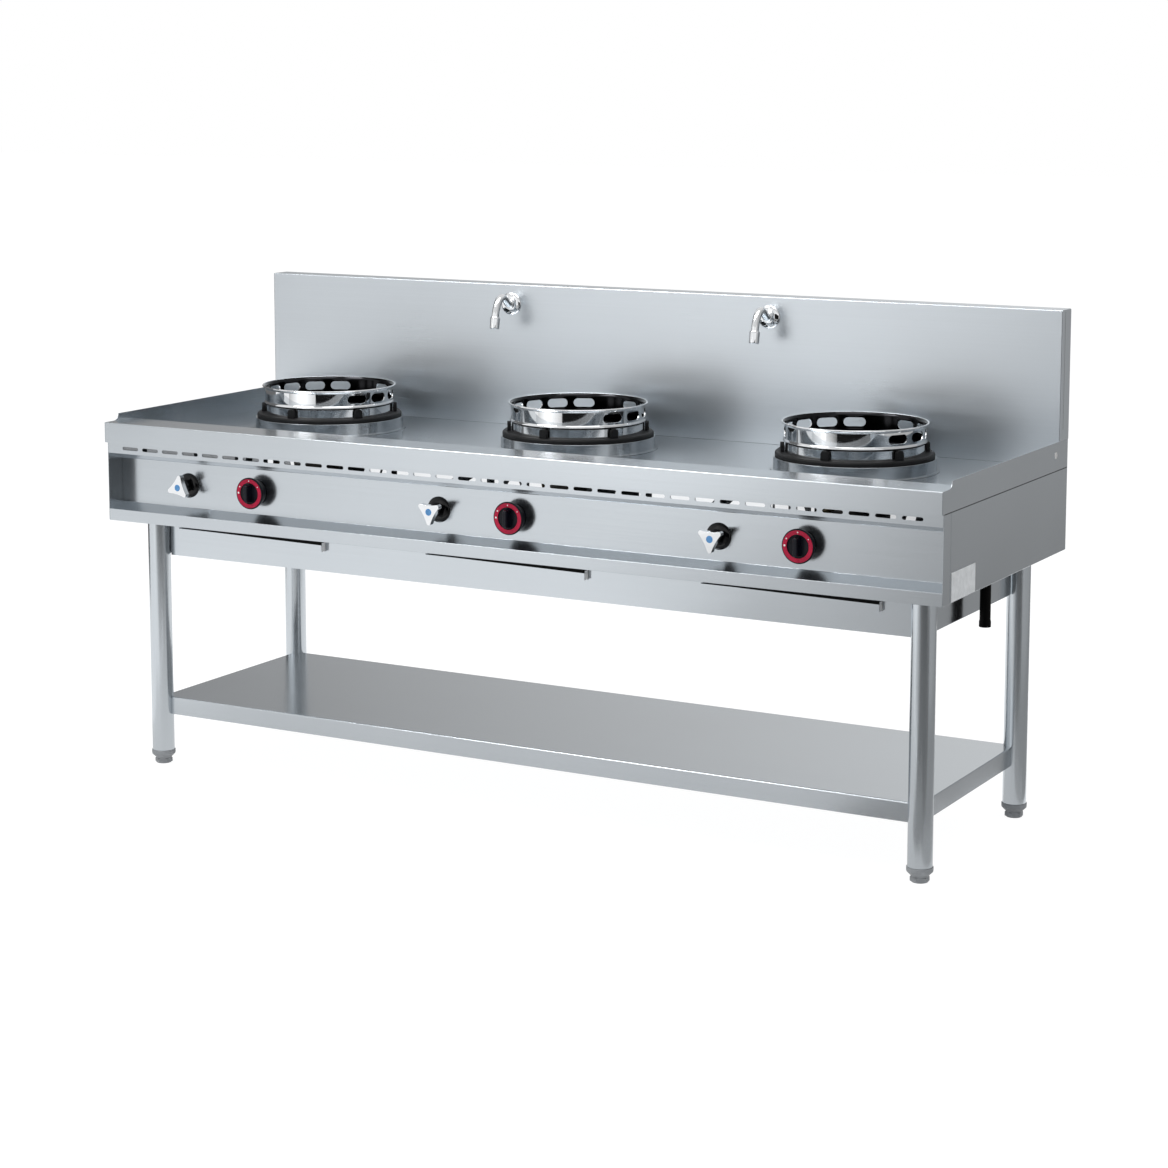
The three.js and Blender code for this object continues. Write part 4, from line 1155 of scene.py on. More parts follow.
@dataclass
class FrontPanel:
    """The front below the worktop: slotted strip, recessed panel with ledge, and lip."""

    inner_half: float = 0.9972
    outer_half: float = 0.999
    front: float = -0.341
    panel: float = -0.293
    flange: float = -0.282
    bottom: float = 0.568
    lip: float = 0.594
    ledge: float = 0.604
    soffit: float = 0.704
    strip: float = 0.7207
    top: float = 0.7447
    strip_top: float = 0.7882
    slot_z: float = 0.733
    return_depth: float = 0.036
    sheet: float = 0.0015
    bend: float = 0.0006
    slots: int = 35
    slot: Point2 = (0.0436, 0.0075)
    pitch: float = 0.055
    baffle_gap: float = 0.0024
    dull_baffles: tuple[Baffle, ...] = (
        (-0.975, -0.975, -0.906, -0.906), (-0.889, -0.889, -0.76, -0.76),
        (-0.745, -0.745, -0.649, -0.649), (-0.632, -0.632, -0.622, -0.618),
        (-0.604, -0.6, -0.575, -0.575), (-0.516, -0.516, -0.499, -0.505))
    bright_baffles: tuple[Baffle, ...] = (
        (-0.561, -0.561, -0.547, -0.547), (-0.499, -0.503, -0.491, -0.493),
        (-0.314, -0.305, -0.273, -0.268), (-0.268, -0.262, -0.253, -0.253),
        (-0.228, -0.228, -0.097, -0.081), (-0.058, -0.034, -0.0075, -0.0075),
        (0.011, 0.011, 0.029, 0.029), (0.04, 0.049, 0.0745, 0.067),
        (0.094, 0.094, 0.125, 0.121), (0.292, 0.298, 0.306, 0.306),
        (0.348, 0.348, 0.352, 0.352), (0.377, 0.377, 0.506, 0.522),
        (0.545, 0.561, 0.642, 0.642), (0.647, 0.647, 0.676, 0.676),
        (0.695, 0.695, 0.713, 0.708), (0.724, 0.724, 0.731, 0.731),
        (0.889, 0.889, 0.903, 0.903), (0.919, 0.924, 0.939, 0.943))
    control_z: float = 0.654
    knob_x: tuple[float, ...] = (-0.626, 0.031, 0.688)
    tap_x: tuple[float, ...] = (-0.811, -0.154, 0.503)
    tap_turn: tuple[float, ...] = (40.0, -30.0, -30.0)
    knob_hole: float = 0.007
    tap_hole: float = 0.012

    def build(self) -> None:
        """Makes the folded panel, its end returns and the slotted strip."""
        line = [(self.flange, self.bottom), (self.front, self.bottom), (self.front, self.lip),
                (self.panel, self.ledge), (self.panel, self.soffit), (self.front, self.strip)]
        sheet = folded("control_panel_sheet", line, (-self.inner_half, self.inner_half),
                       self.sheet, self.bend)
        cutters = [punch(radius, 0.01, 32, (x, self.panel, self.control_z), Facing.FRONT)
                   for radius, row in ((self.knob_hole, self.knob_x), (self.tap_hole, self.tap_x))
                   for x in row]
        smooth(cut_with(sheet, cutters))
        mount(sheet, FRAME_BODY, Finish.BRUSHED_FRONT, "brushed_stainless", "control_panel")
        for side in Side:
            self.build_return(side)
        self.build_strip()
        self.build_baffles("dull_baffles", self.dull_baffles, Finish.FOOT_GREY)
        self.build_baffles("bright_baffles", self.bright_baffles, Finish.POLISHED_CHROME)

    def build_return(self, side: Side) -> None:
        """Closes one end of the front with its rounded return.

        Args:
            side: The end of the front that it closes.
        """
        x0, x1 = side.span(self.inner_half, self.outer_half)
        post = block(f"front_return_{side}", (x0, self.front, self.bottom),
                     (x1, self.front + self.return_depth, self.top))
        ease(post, 0.0008, 3, 60)
        mount(post, FRAME_BODY, Finish.BRUSHED_SIDE, "brushed_stainless")

    def build_strip(self) -> None:
        """Cuts the strip with its row of slots."""
        half, low, high = self.inner_half, self.strip + 0.0003, self.strip_top
        middle = (self.slots - 1) / 2
        outlines = [[(-half, low), (half, low), (half, high), (-half, high)]]
        outlines += [slot_outline((i - middle) * self.pitch, self.slot_z, *self.slot, 8)
                     for i in range(self.slots)]
        strip = cut_plate("vent_strip_sheet", outlines, self.sheet)
        put(strip, (0, self.front + self.sheet / 2, 0), Facing.FRONT)
        mount(smooth(strip), FRAME_BODY, Finish.BRUSHED_FRONT, "brushed_stainless", "vent_strip")

    def build_baffles(self, name: str, spans: Sequence[Baffle], finish: Finish) -> None:
        """Hangs the plates that show through parts of the slot row.

        Args:
            name: The joined piece's name.
            spans: X of each plate's left and right edge, each at its foot and its top.
            finish: The plates' finish.
        """
        low, high = self.slot_z - self.slot[1], self.slot_z + self.slot[1]
        plates = []
        for left_foot, left_top, right_foot, right_top in spans:
            plate = cut_plate("baffle", [[(left_foot, low), (right_foot, low),
                                          (right_top, high), (left_top, high)]], self.sheet)
            plates.append(put(plate, (0, self.front + self.baffle_gap, 0), Facing.FRONT))
        mount(join(name, plates), FRAME_BODY, finish, "brushed_stainless")


@dataclass
class SidePanels:
    """The two body sides, each folded under at the bottom, with the bare plate on the right."""

    outer: float = 0.999
    flange: float = 0.964
    bottom: float = 0.568
    top: float = 0.7447
    front: float = -0.3047
    rear: float = 0.35
    sheet: float = 0.0015
    bend: float = 0.0025
    plate_at: Point3 = (0.999, -0.299, 0.57)
    plate: Point3 = (0.0006, 0.124, 0.057)
    plate_border: float = 0.0035
    plate_press: Point2 = (0.0008, 0.0002)

    def build(self) -> None:
        """Makes both sides and the plate."""
        line = [(self.outer, self.top), (self.outer, self.bottom), (self.flange, self.bottom)]
        for side in Side:
            panel = folded(f"body_side_{side}", line, side.span(-self.front, -self.rear),
                           self.sheet, self.bend, -side.value * math.pi / 2)
            if side is Side.RIGHT:
                heal(panel)
            mount(panel, FRAME_BODY, Finish.BRUSHED_SIDE, "brushed_stainless",
                  f"side_panel_{side}")
        self.build_plate()

    def build_plate(self) -> None:
        """Makes the bare plate with its pressed border."""
        (x, y, z), (thick, long, tall) = self.plate_at, self.plate
        plate = block("bare_plate", (x, y, z), (x + thick, y + long, z + tall))
        select_where(plate, Domain.FACE, lambda _, normal: normal.x > ALONG)
        slope, press = self.plate_press
        bpy.ops.mesh.inset(thickness=self.plate_border, depth=0)
        bpy.ops.mesh.inset(thickness=slope, depth=-press)
        bpy.ops.object.mode_set(mode="OBJECT")
        mount(ease(plate, 0.0002, 2, 60), FRAME_BODY, Finish.PLATE_PALE, "brushed_stainless")


@dataclass
class RearPanel:
    """The back sheet, folded forward at the bottom."""

    half_width: float = 0.9972
    face: float = 0.349
    flange: float = 0.297
    bottom: float = 0.568
    top: float = 1.0772
    sheet: float = 0.0015
    bend: float = 0.003

    def build(self) -> None:
        """Folds the sheet."""
        line = [(self.face, self.top), (self.face, self.bottom), (self.flange, self.bottom)]
        back = folded("rear_sheet", line, (-self.half_width, self.half_width), self.sheet,
                      self.bend)
        mount(back, FRAME_BODY, Finish.BRUSHED_FRONT, "brushed_stainless", "rear_panel")


@dataclass
class Fasteners:
    """Small screw heads on the sides, the back and the underside."""

    radius: float = 0.0075
    height: float = 0.0009
    slot: float = 0.0008
    side_at: Point3 = (0.9991, 0.277, 0.778)
    rear_x: tuple[float, ...] = tuple(0.19 * i for i in range(-5, 6))
    rear_y: float = 0.3489
    rear_z: Point2 = (0.586, 1.058)
    under_at: Point3 = (0.972, 0.25, 0.5683)

    def build(self) -> None:
        """Makes the side, rear and underside screws."""
        x, y, z = self.side_at
        side = [self.head((x, y, z), Facing.RIGHT), self.head((-x, y, z), Facing.LEFT)]
        # The side screws are steel; their near-white tone is a painted highlight.
        mount(join("side_screws", side), FRAME_BODY, Finish.SCREW_STEEL, "chrome")
        rear = [self.head((x, self.rear_y, z), Facing.BACK)
                for x in self.rear_x for z in self.rear_z]
        mount(join("rear_screws", rear), FRAME_BODY, Finish.POLISHED_CHROME, "chrome")
        x, y, z = self.under_at
        under = [self.head((i * x, j * y, z), Facing.DOWN) for i in (-1, 1) for j in (-1, 1)]
        mount(join("underside_screws", under), FRAME_BODY, Finish.DARK_TRIM_AND_SHADOW, "black_plastic")

    def head(self, place: Point3, facing: Facing) -> bpy.types.Object:
        """Turns one domed head with a cross slot.

        Args:
            place: Middle of its seat.
            facing: Where the head points.

        Returns:
            The head.
        """
        r, h = self.radius, self.height
        head = turned("screw", [(0, 0), (r, 0), (r, h * 0.3), (r * 0.8, h * 0.75),
                                (r * 0.45, h), (0, h)], 24)
        half, reach = self.slot / 2, r * 0.6
        cut_with(head, [block("bar", (-reach, -half, h * 0.5), (reach, half, h * 2))])
        cut_with(head, [block("bar", (-half, -reach, h * 0.45), (half, reach, h * 2.1))])
        return smooth(put(head, place, facing))


# ---- Stand ----------------------------------------------------------------------------


@dataclass
class Stand:
    """Legs, levelling feet and the lower shelf."""

    leg_x: float = 0.927
    leg_y: Point2 = (-0.255, 0.27)
    leg_radius: float = 0.025
    leg_z: Point2 = (0.031, 0.5692)
    bore: float = 0.0065
    top_plate: float = 0.003
    plug: float = 0.014
    wall: float = 0.0015
    shelf_z: float = 0.155
    shelf_edge: float = 0.04
    leg_fit: float = 0.0004
    bend: float = 0.003
    pad_profile: tuple[Point2, ...] = (
        (0, 0), (0.0165, 0), (0.0175, 0.001), (0.0175, 0.012), (0.0215, 0.0165),
        (0.0262, 0.021), (0.0268, 0.024), (0.0268, 0.0302), (0.0262, 0.0307),
        (0.006, 0.0307), (0.006, 0.0567), (0, 0.0567))
    nut_profile: tuple[Point2, ...] = (
        (0, 0.0015), (0.0198, 0.0015), (0.0198, 0.0105), (0, 0.0105))

    def build(self) -> None:
        """Makes the legs with their feet, and the shelf."""
        places = [(f"{end}_{side}", side.value * self.leg_x, y)
                  for side in Side for end, y in zip(("front", "rear"), self.leg_y)]
        leg, foot = self.leg(), self.foot()
        for name, x, y in places:
            mount(duplicate(leg, f"leg_tube_{name}", (x, y, 0)), FRAME_BODY, Finish.BRUSHED_LEG,
                  "brushed_stainless", f"leg_{name}")
            mount(duplicate(foot, f"levelling_foot_{name}", (x, y, 0)), f"foot_{name}",
                  Finish.FOOT_GREY, "grey_plastic", f"foot_{name}")
        for made in (leg, foot):
            bpy.data.objects.remove(made)
        self.build_shelf()

    def leg(self) -> bpy.types.Object:
        """Turns one leg tube with its top plate and its plug.

        Returns:
            The tube, round the Z axis.
        """
        (low, high), radius, bore = self.leg_z, self.leg_radius, self.bore
        inner, under, plug = radius - self.wall, high - self.top_plate, low + self.plug
        tube = turned("leg", [(bore, low), (radius, low), (radius, high), (bore, high),
                              (bore, under), (inner, under), (inner, plug), (bore, plug)], 64)
        return ease(tube, 0.0006, 2)

    def foot(self) -> bpy.types.Object:
        """Turns one levelling foot with a hexagon for the spanner.

        Returns:
            The foot, round the Z axis.
        """
        pad = ease(turned("foot", self.pad_profile, 48), 0.0005, 2)
        nut = ease(turned("nut", self.nut_profile, 6), 0.0006, 2)
        return join("foot", [pad, nut])

    def build_shelf(self) -> None:
        """Makes the shelf with its edges turned down and its corners cut round the legs."""
        low = (-self.leg_x, self.leg_y[0], self.shelf_z - self.shelf_edge)
        high = (self.leg_x, self.leg_y[1], self.shelf_z)
        shelf = block("shelf_sheet", low, high)
        take_off(shelf, lambda normal: normal.z < -ALONG)
        round_edges(shelf, lambda co, way: abs(way.z) < 1 - ALONG
                    and co.z > self.shelf_z - EDGE_REACH, self.bend)
        thicken(shelf, self.wall)
        cutters = [punch(self.leg_radius + self.leg_fit, 0.1, 64,
                         (side.value * self.leg_x, y, self.shelf_z))
                   for side in Side for y in self.leg_y]
        smooth(cut_with(shelf, cutters))
        mount(shelf, FRAME_BODY, Finish.BRUSHED_FRONT, "brushed_stainless", "shelf")


@dataclass
class DripPan:
    """The deep housing under the burners: its apron, its pan and the slide-out trays."""

    apron_half: float = 0.9
    half_width: float = 0.92
    front: float = -0.247
    pan_front: float = -0.2452
    notch: float = -0.228
    rear: float = 0.243
    bottom: float = 0.482
    top: float = 0.5692
    mouth_half: float = 0.196
    mouth_z: float = 0.528
    tray_half: float = 0.194
    tray_y: Point2 = (-0.2445, 0.2295)
    tray_z: Point2 = (0.53, 0.556)
    lip_y: float = -0.261
    lip_z: Point2 = (0.528, 0.549)
    # Taper and thickness of the black strip on each lip, which paints the shadow of the gap above
    # it.
    seal_drop: float = 0.006
    seal_t: float = 0.0008
    sheet: float = 0.0015
    bend: float = 0.0025

    def build(self, places: Sequence[float]) -> None:
        """Makes the apron, the pan and a tray at each place.

        Args:
            places: X of each tray's middle.
        """
        self.build_apron(places)
        self.build_pan()
        for i, x in enumerate(places):
            self.build_tray(i + 1, x)

    def build_apron(self, places: Sequence[float]) -> None:
        """Cuts the front sheet with its mouths.

        Args:
            places: X of each mouth's middle.
        """
        half, low, high = self.apron_half, self.bottom, self.top
        outline = [(half, high), (-half, high), (-half, low), (half, low)]
        for x in places:
            left, right = x - self.mouth_half, x + self.mouth_half
            outline[1:1] = [(right, high), (right, self.mouth_z), (left, self.mouth_z),
                            (left, high)]
        apron = cut_plate("apron_sheet", [outline], self.sheet)
        put(apron, (0, self.front + self.sheet / 2, 0), Facing.FRONT)
        ease(apron, 0.0004, 2, 60)
        mount(apron, FRAME_BODY, Finish.BRIGHT_FRONT, "bright_stainless", "drip_apron")

    def build_pan(self) -> None:
        """Folds the pan behind the apron, cut in at the front legs."""
        pan = block("pan_sheet", (-self.half_width, self.pan_front, self.bottom),
                    (self.half_width, self.rear, self.top))
        self.open_up(pan)
        cutters, walls = [], []
        beyond, weld_in = 0.01, 0.0005
        foot, back = self.bottom + weld_in, self.notch + self.sheet
        for side in Side:
            x0, x1 = side.span(self.apron_half, self.half_width + beyond)
            cutters.append(block("notch", (x0, self.pan_front - beyond, self.bottom - beyond),
                                 (x1, self.notch, self.top + beyond)))
            x0, x1 = side.span(self.apron_half, self.apron_half - self.sheet)
            walls.append(block("wall", (x0, self.pan_front, foot), (x1, back, self.top)))
            x0, x1 = side.span(self.apron_half - self.sheet, self.half_width - weld_in)
            walls.append(block("wall", (x0, self.notch, foot), (x1, back, self.top)))
        cut_with(pan, cutters)
        pan = join("pan_sheet", [pan, *walls])
        mount(smooth(pan), FRAME_BODY, Finish.BRIGHT_SIDE, "bright_stainless", "drip_housing")

    def open_up(self, pan: bpy.types.Object) -> None:
        """Turns a box into a folded sheet, open at the top and the front.

        Args:
            pan: The box.
        """
        top = max(vert.co.z for vert in pan.data.vertices) - EDGE_REACH
        take_off(pan, lambda normal: normal.z > ALONG or normal.y < -ALONG)
        round_edges(pan, lambda co, way: (
            abs(way.x) > ALONG and co.z < top and co.y > 0
            or abs(way.y) > ALONG and co.z < top
            or abs(way.z) > ALONG and co.y > 0), self.bend, 4)
        thicken(pan, self.sheet)

    def build_tray(self, number: int, x: float) -> None:
        """Folds one tray with its pull lip and the lip's end tabs, whose white is a painted
        highlight, and lays a black strip on the lip that paints the shadow of the gap above it.

        Args:
            number: The tray's number, from the left.
            x: Its middle.
        """
        (y0, y1), (z0, z1) = self.tray_y, self.tray_z
        left, right = x - self.tray_half, x + self.tray_half
        pan = block("tray", (left, y0, z0), (right, y1, z1))
        self.open_up(pan)
        low, high = self.lip_z
        wall = y0 + self.sheet
        lip = folded("lip", [(self.lip_y, low), (self.lip_y, high), (wall, high),
                             (wall, z0 + 0.0005)], (left, right), self.sheet, self.bend)
        tabs = [block("tab", (tab, self.lip_y + 0.001, low + 0.0004),
                      (tab + self.sheet, y0, high - 0.001))
                for tab in (left, right - self.sheet)]
        body = f"tray_{number}"
        tray = join(f"tray_sheet_{number}", [pan, lip])
        mount(smooth(tray), body, Finish.BRIGHT_FRONT, "bright_stainless", f"drip_tray_{number}")
        # The end tabs are steel; their white finish is a painted highlight.
        mount(join(f"tray_tabs_{number}", tabs), body, Finish.PAINTED_HIGHLIGHT_WHITE, "bright_stainless")
        # A black wedge strip on the lip's top edge: painted shadow of the gap above the lip.
        top = high + 0.0004
        wedge = [(left, high - self.seal_t), (right, high - self.seal_drop),
                 (right, top), (left, top)]
        seal = cut_plate(f"tray_seal_{number}", [wedge], self.seal_t)
        put(seal, (0, self.lip_y - 0.0003, 0), Facing.FRONT)
        mount(seal, body, Finish.DRAIN_BLACK, "black_plastic")


# ---- Burner places --------------------------------------------------------------------


@dataclass
class BurnerPlace:
    """One burner's collar, cast support, wok ring and burner head."""

    number: int
    x: float
    y: float = 0.057
    collar_z: float = 0.7533
    support_z: float = 0.7806
    ring_z: float = 0.7909
    hole_r: float = 0.15
    collar_r: float = 0.169
    support_r: float = 0.1655
    support_bore: float = 0.118
    support_h: float = 0.0098
    lugs: int = 6
    lug_fit: float = 0.0018
    lug: Point3 = (0.008, 0.018, 0.0199)
    band_r: float = 0.1448
    ring_wall: float = 0.0024
    hole: Point2 = (0.047, 0.019)
    hole_z: float = 0.0413
    ports: int = 30
    mixer_z: float = 0.668
    places: int = 15
    holes: tuple[int, ...] = (1, 2, 3, 4, 5, 10, 11, 12, 13, 14)

    def build(self) -> None:
        """Makes the four pieces."""
        self.build_collar()
        self.build_support()
        self.build_ring()
        self.build_burner()

    def build_collar(self) -> None:
        """Turns the collar with its foot flange and rolled-in top."""
        r, t, top = self.collar_r, 0.002, 0.027
        collar = fitting(f"collar_turned_{self.number}", [
            (r + 0.0065, 0), (r + 0.0065, 0.0014), (r, 0.0015), (r, top), (self.hole_r, top),
            (self.hole_r, top - t), (r - t, top - t), (r - t, 0)],
            128, 0.0008, (self.x, self.y, self.collar_z), Facing.UP, 3)
        # The collar's vertical grain is its own; its darker tone is painted shade.
        mount(collar, FRAME_BODY, Finish.COLLAR_STEEL, "brushed_stainless",
              f"burner_collar_{self.number}")

    def build_support(self) -> None:
        """Turns the cast ring and stands its lugs on it."""
        r, bore, top = self.support_r, self.support_bore, self.support_h
        ring = turned(f"support_cast_{self.number}", [
            (bore, 0), (r, 0), (r, 0.0068), (r - 0.003, top), (bore + 0.004, top),
            (bore, 0.0072)], 128)
        parts = [ease(ring, 0.0012, 3)]
        inner, (depth, width, height) = self.band_r + self.lug_fit, self.lug
        for i in range(self.lugs):
            lug = block("lug", (inner, -width / 2, 0.004),
                        (inner + depth, width / 2, top + height))
            round_edges(lug, lambda co, way: abs(way.x) > ALONG and co.z > top,
                        width * 0.42, 8)
            ease(lug, 0.0011, 3, 50)
            parts.append(put(lug, (0, 0, 0), roll=2 * math.pi * (i + 0.5) / self.lugs))
        support = join(f"support_cast_{self.number}", parts)
        put(support, (self.x, self.y, self.support_z))
        mount(support, f"pan_support_{self.number}", Finish.CAST_BLACK, "cast_iron",
              f"pan_support_{self.number}")

    def build_ring(self) -> None:
        """Turns the wok ring, cuts its oblong holes and rolls its rim."""
        r, t = self.band_r, self.ring_wall
        wall, rim = r + 0.002, r + 0.0083
        ring = turned(f"ring_turned_{self.number}", [
            (r, 0), (r, 0.0185), (r + 0.0022, 0.0206), (r + 0.0043, 0.0228),
            (r + 0.0036, 0.0256), (wall, 0.0275), (wall, 0.0552), (wall + 0.0022, 0.0577),
            (rim - 0.0014, 0.0588), (rim, 0.0601), (rim - 0.0002, 0.0618),
            (rim - 0.0018, 0.0629), (rim - 0.0042, 0.0622), (wall - 0.0006, 0.0588),
            (wall - t, 0.0556), (wall - t, 0.0275), (r - t, 0.021), (r - t, 0)], 160)
        ease(ring, 0.0004, 2)
        cutters = []
        for i in self.holes:
            tool = cut_plate("hole", [slot_outline(0, 0, *self.hole)], 0.03)
            put(tool, (0, -wall, self.hole_z), Facing.FRONT)
            cutters.append(put(tool, (0, 0, 0), roll=math.pi + 2 * math.pi * i / self.places))
        smooth(cut_with(ring, cutters))
        put(ring, (self.x, self.y, self.ring_z))
        mount(ring, f"wok_ring_{self.number}", Finish.POLISHED_CHROME, "chrome",
              f"wok_ring_{self.number}")
        # Painted dark reflection on the ring's inner wall.
        self.paint_dark_reflection(ring)

    def paint_dark_reflection(self, ring: bpy.types.Object) -> None:
        """Paints the ring's inner wall in near-black chrome: a painted dark reflection.

        Args:
            ring: The ring, in place.
        """
        ring.data.materials.append(finish_of(Finish.PAINTED_REFLECTION_CHROME))
        inwards = -0.5
        for face in ring.data.polygons:
            across = Vector((face.center.x - self.x, face.center.y - self.y, 0)).normalized()
            if face.normal.dot(across) < inwards:
                face.material_index = 1

    def build_burner(self) -> None:
        """Turns the burner's post and bowl, cuts its ports and welds on the mixing tube."""
        low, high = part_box(f"burner_{self.number}")
        foot, top = low.z, high.z
        bowl, rim, dish = top - 0.034, 0.062, 0.008
        head = turned(f"burner_cast_{self.number}", [
            (0, foot), (0.028, foot), (0.028, foot + 0.006), (0.02, foot + 0.006),
            (0.02, bowl), (rim, bowl + 0.021), (rim, top), (rim - dish, top),
            (rim - dish, top - dish), (0.02, top - dish), (0.0125, top - 0.0035),
            (0, top - 0.002)], 96)
        ease(head, 0.0008, 2)
        slots = []
        for i in range(self.ports):
            cutter = block("port", (rim - dish - 0.002, -0.0013, top - 0.0045),
                           (rim + 0.004, 0.0013, top + 0.004))
            slots.append(put(cutter, (0, 0, 0), roll=2 * math.pi * i / self.ports))
        cut_with(head, slots)
        put(head, (self.x, self.y, 0))
        reach = self.y - low.y
        tube = fitting("mixing_tube", [
            (0, 0), (0.021, 0), (0.021, reach - 0.027), (0.027, reach), (0.0235, reach),
            (0.018, reach - 0.025), (0.018, reach - 0.06), (0, reach - 0.06)],
            64, 0.0006, (self.x, self.y, self.mixer_z))
        weld(head, tube)
        mount(smooth(head), FRAME_BODY, Finish.BURNER_IRON, "cast_iron", f"burner_{self.number}")


# ---- Controls and water ---------------------------------------------------------------


@dataclass
class GasKnob:
    """One black gas knob with a red ring, white dots and a grip bar."""

    number: int
    x: float
    panel: float = -0.293
    z: float = 0.654
    radius: float = 0.035
    face: float = 0.028
    grip: Point3 = (0.0125, 0.04, 0.0145)
    grip_taper: Point2 = (0.72, 0.9)
    ring_profile: tuple[Point2, ...] = (
        (0.0236, 0), (0.0322, 0), (0.0322, 0.0009), (0.0236, 0.0009))
    dot_circle: float = 0.0279
    dots: tuple[Point2, ...] = ((180.0, 0.0022), (150.0, 0.0016), (90.0, 0.0014),
                                (35.0, 0.0012))

    def build(self) -> None:
        """Makes the knob's body, ring and dots."""
        body = f"gas_knob_{self.number}"
        knob = put(self.knob(), (self.x, self.panel, self.z), Facing.FRONT)
        mount(knob, body, Finish.KNOB_BLACK, "black_plastic", body)
        ring = fitting(f"knob_ring_{self.number}", self.ring_profile, 72, 0.0003,
                       (self.x, self.panel - self.face + 0.0003, self.z))
        mount(ring, body, Finish.KNOB_RED, "black_plastic")
        marks = []
        for angle, size in self.dots:
            dot = turned("dot", [(0, 0), (size, 0), (size * 0.9, 0.0004), (0, 0.0004)], 20)
            turn = math.radians(angle)
            marks.append(put(dot, (self.x + self.dot_circle * math.cos(turn),
                                   self.panel - self.face - 0.00055,
                                   self.z + self.dot_circle * math.sin(turn)), Facing.FRONT))
        mount(join(f"knob_dots_{self.number}", marks), body, Finish.INK_WHITE, "black_plastic")

    def knob(self) -> bpy.types.Object:
        """Turns the flared body, hollows its face and stands the grip bar in it.

        Returns:
            The knob, with its axis upwards.
        """
        r, f = self.radius, self.face
        body = turned(f"knob_moulded_{self.number}", [
            (0, 0.0012), (0.0262, 0.0012), (0.027, 0.002), (0.0288, 0.010), (0.0318, 0.0205),
            (0.0347, 0.0232), (r, 0.0262), (0.0343, 0.0277), (0.0325, f),
            (0.0232, f), (0.0225, f - 0.0016), (0.019, f - 0.0022), (0, f - 0.0022)], 72)
        ease(body, 0.0004, 2)
        width, length, height = self.grip
        bar = block("grip", (-width / 2, -length / 2, f - 0.006),
                    (width / 2, length / 2, f + height))
        select_where(bar, Domain.FACE, lambda _, normal: normal.z > ALONG)
        bpy.ops.transform.resize(value=(*self.grip_taper, 1),
                                 center_override=(0, 0, f + height))
        bpy.ops.object.mode_set(mode="OBJECT")
        ease(bar, 0.002, 4, 40)
        return join(f"knob_moulded_{self.number}", [body, bar])


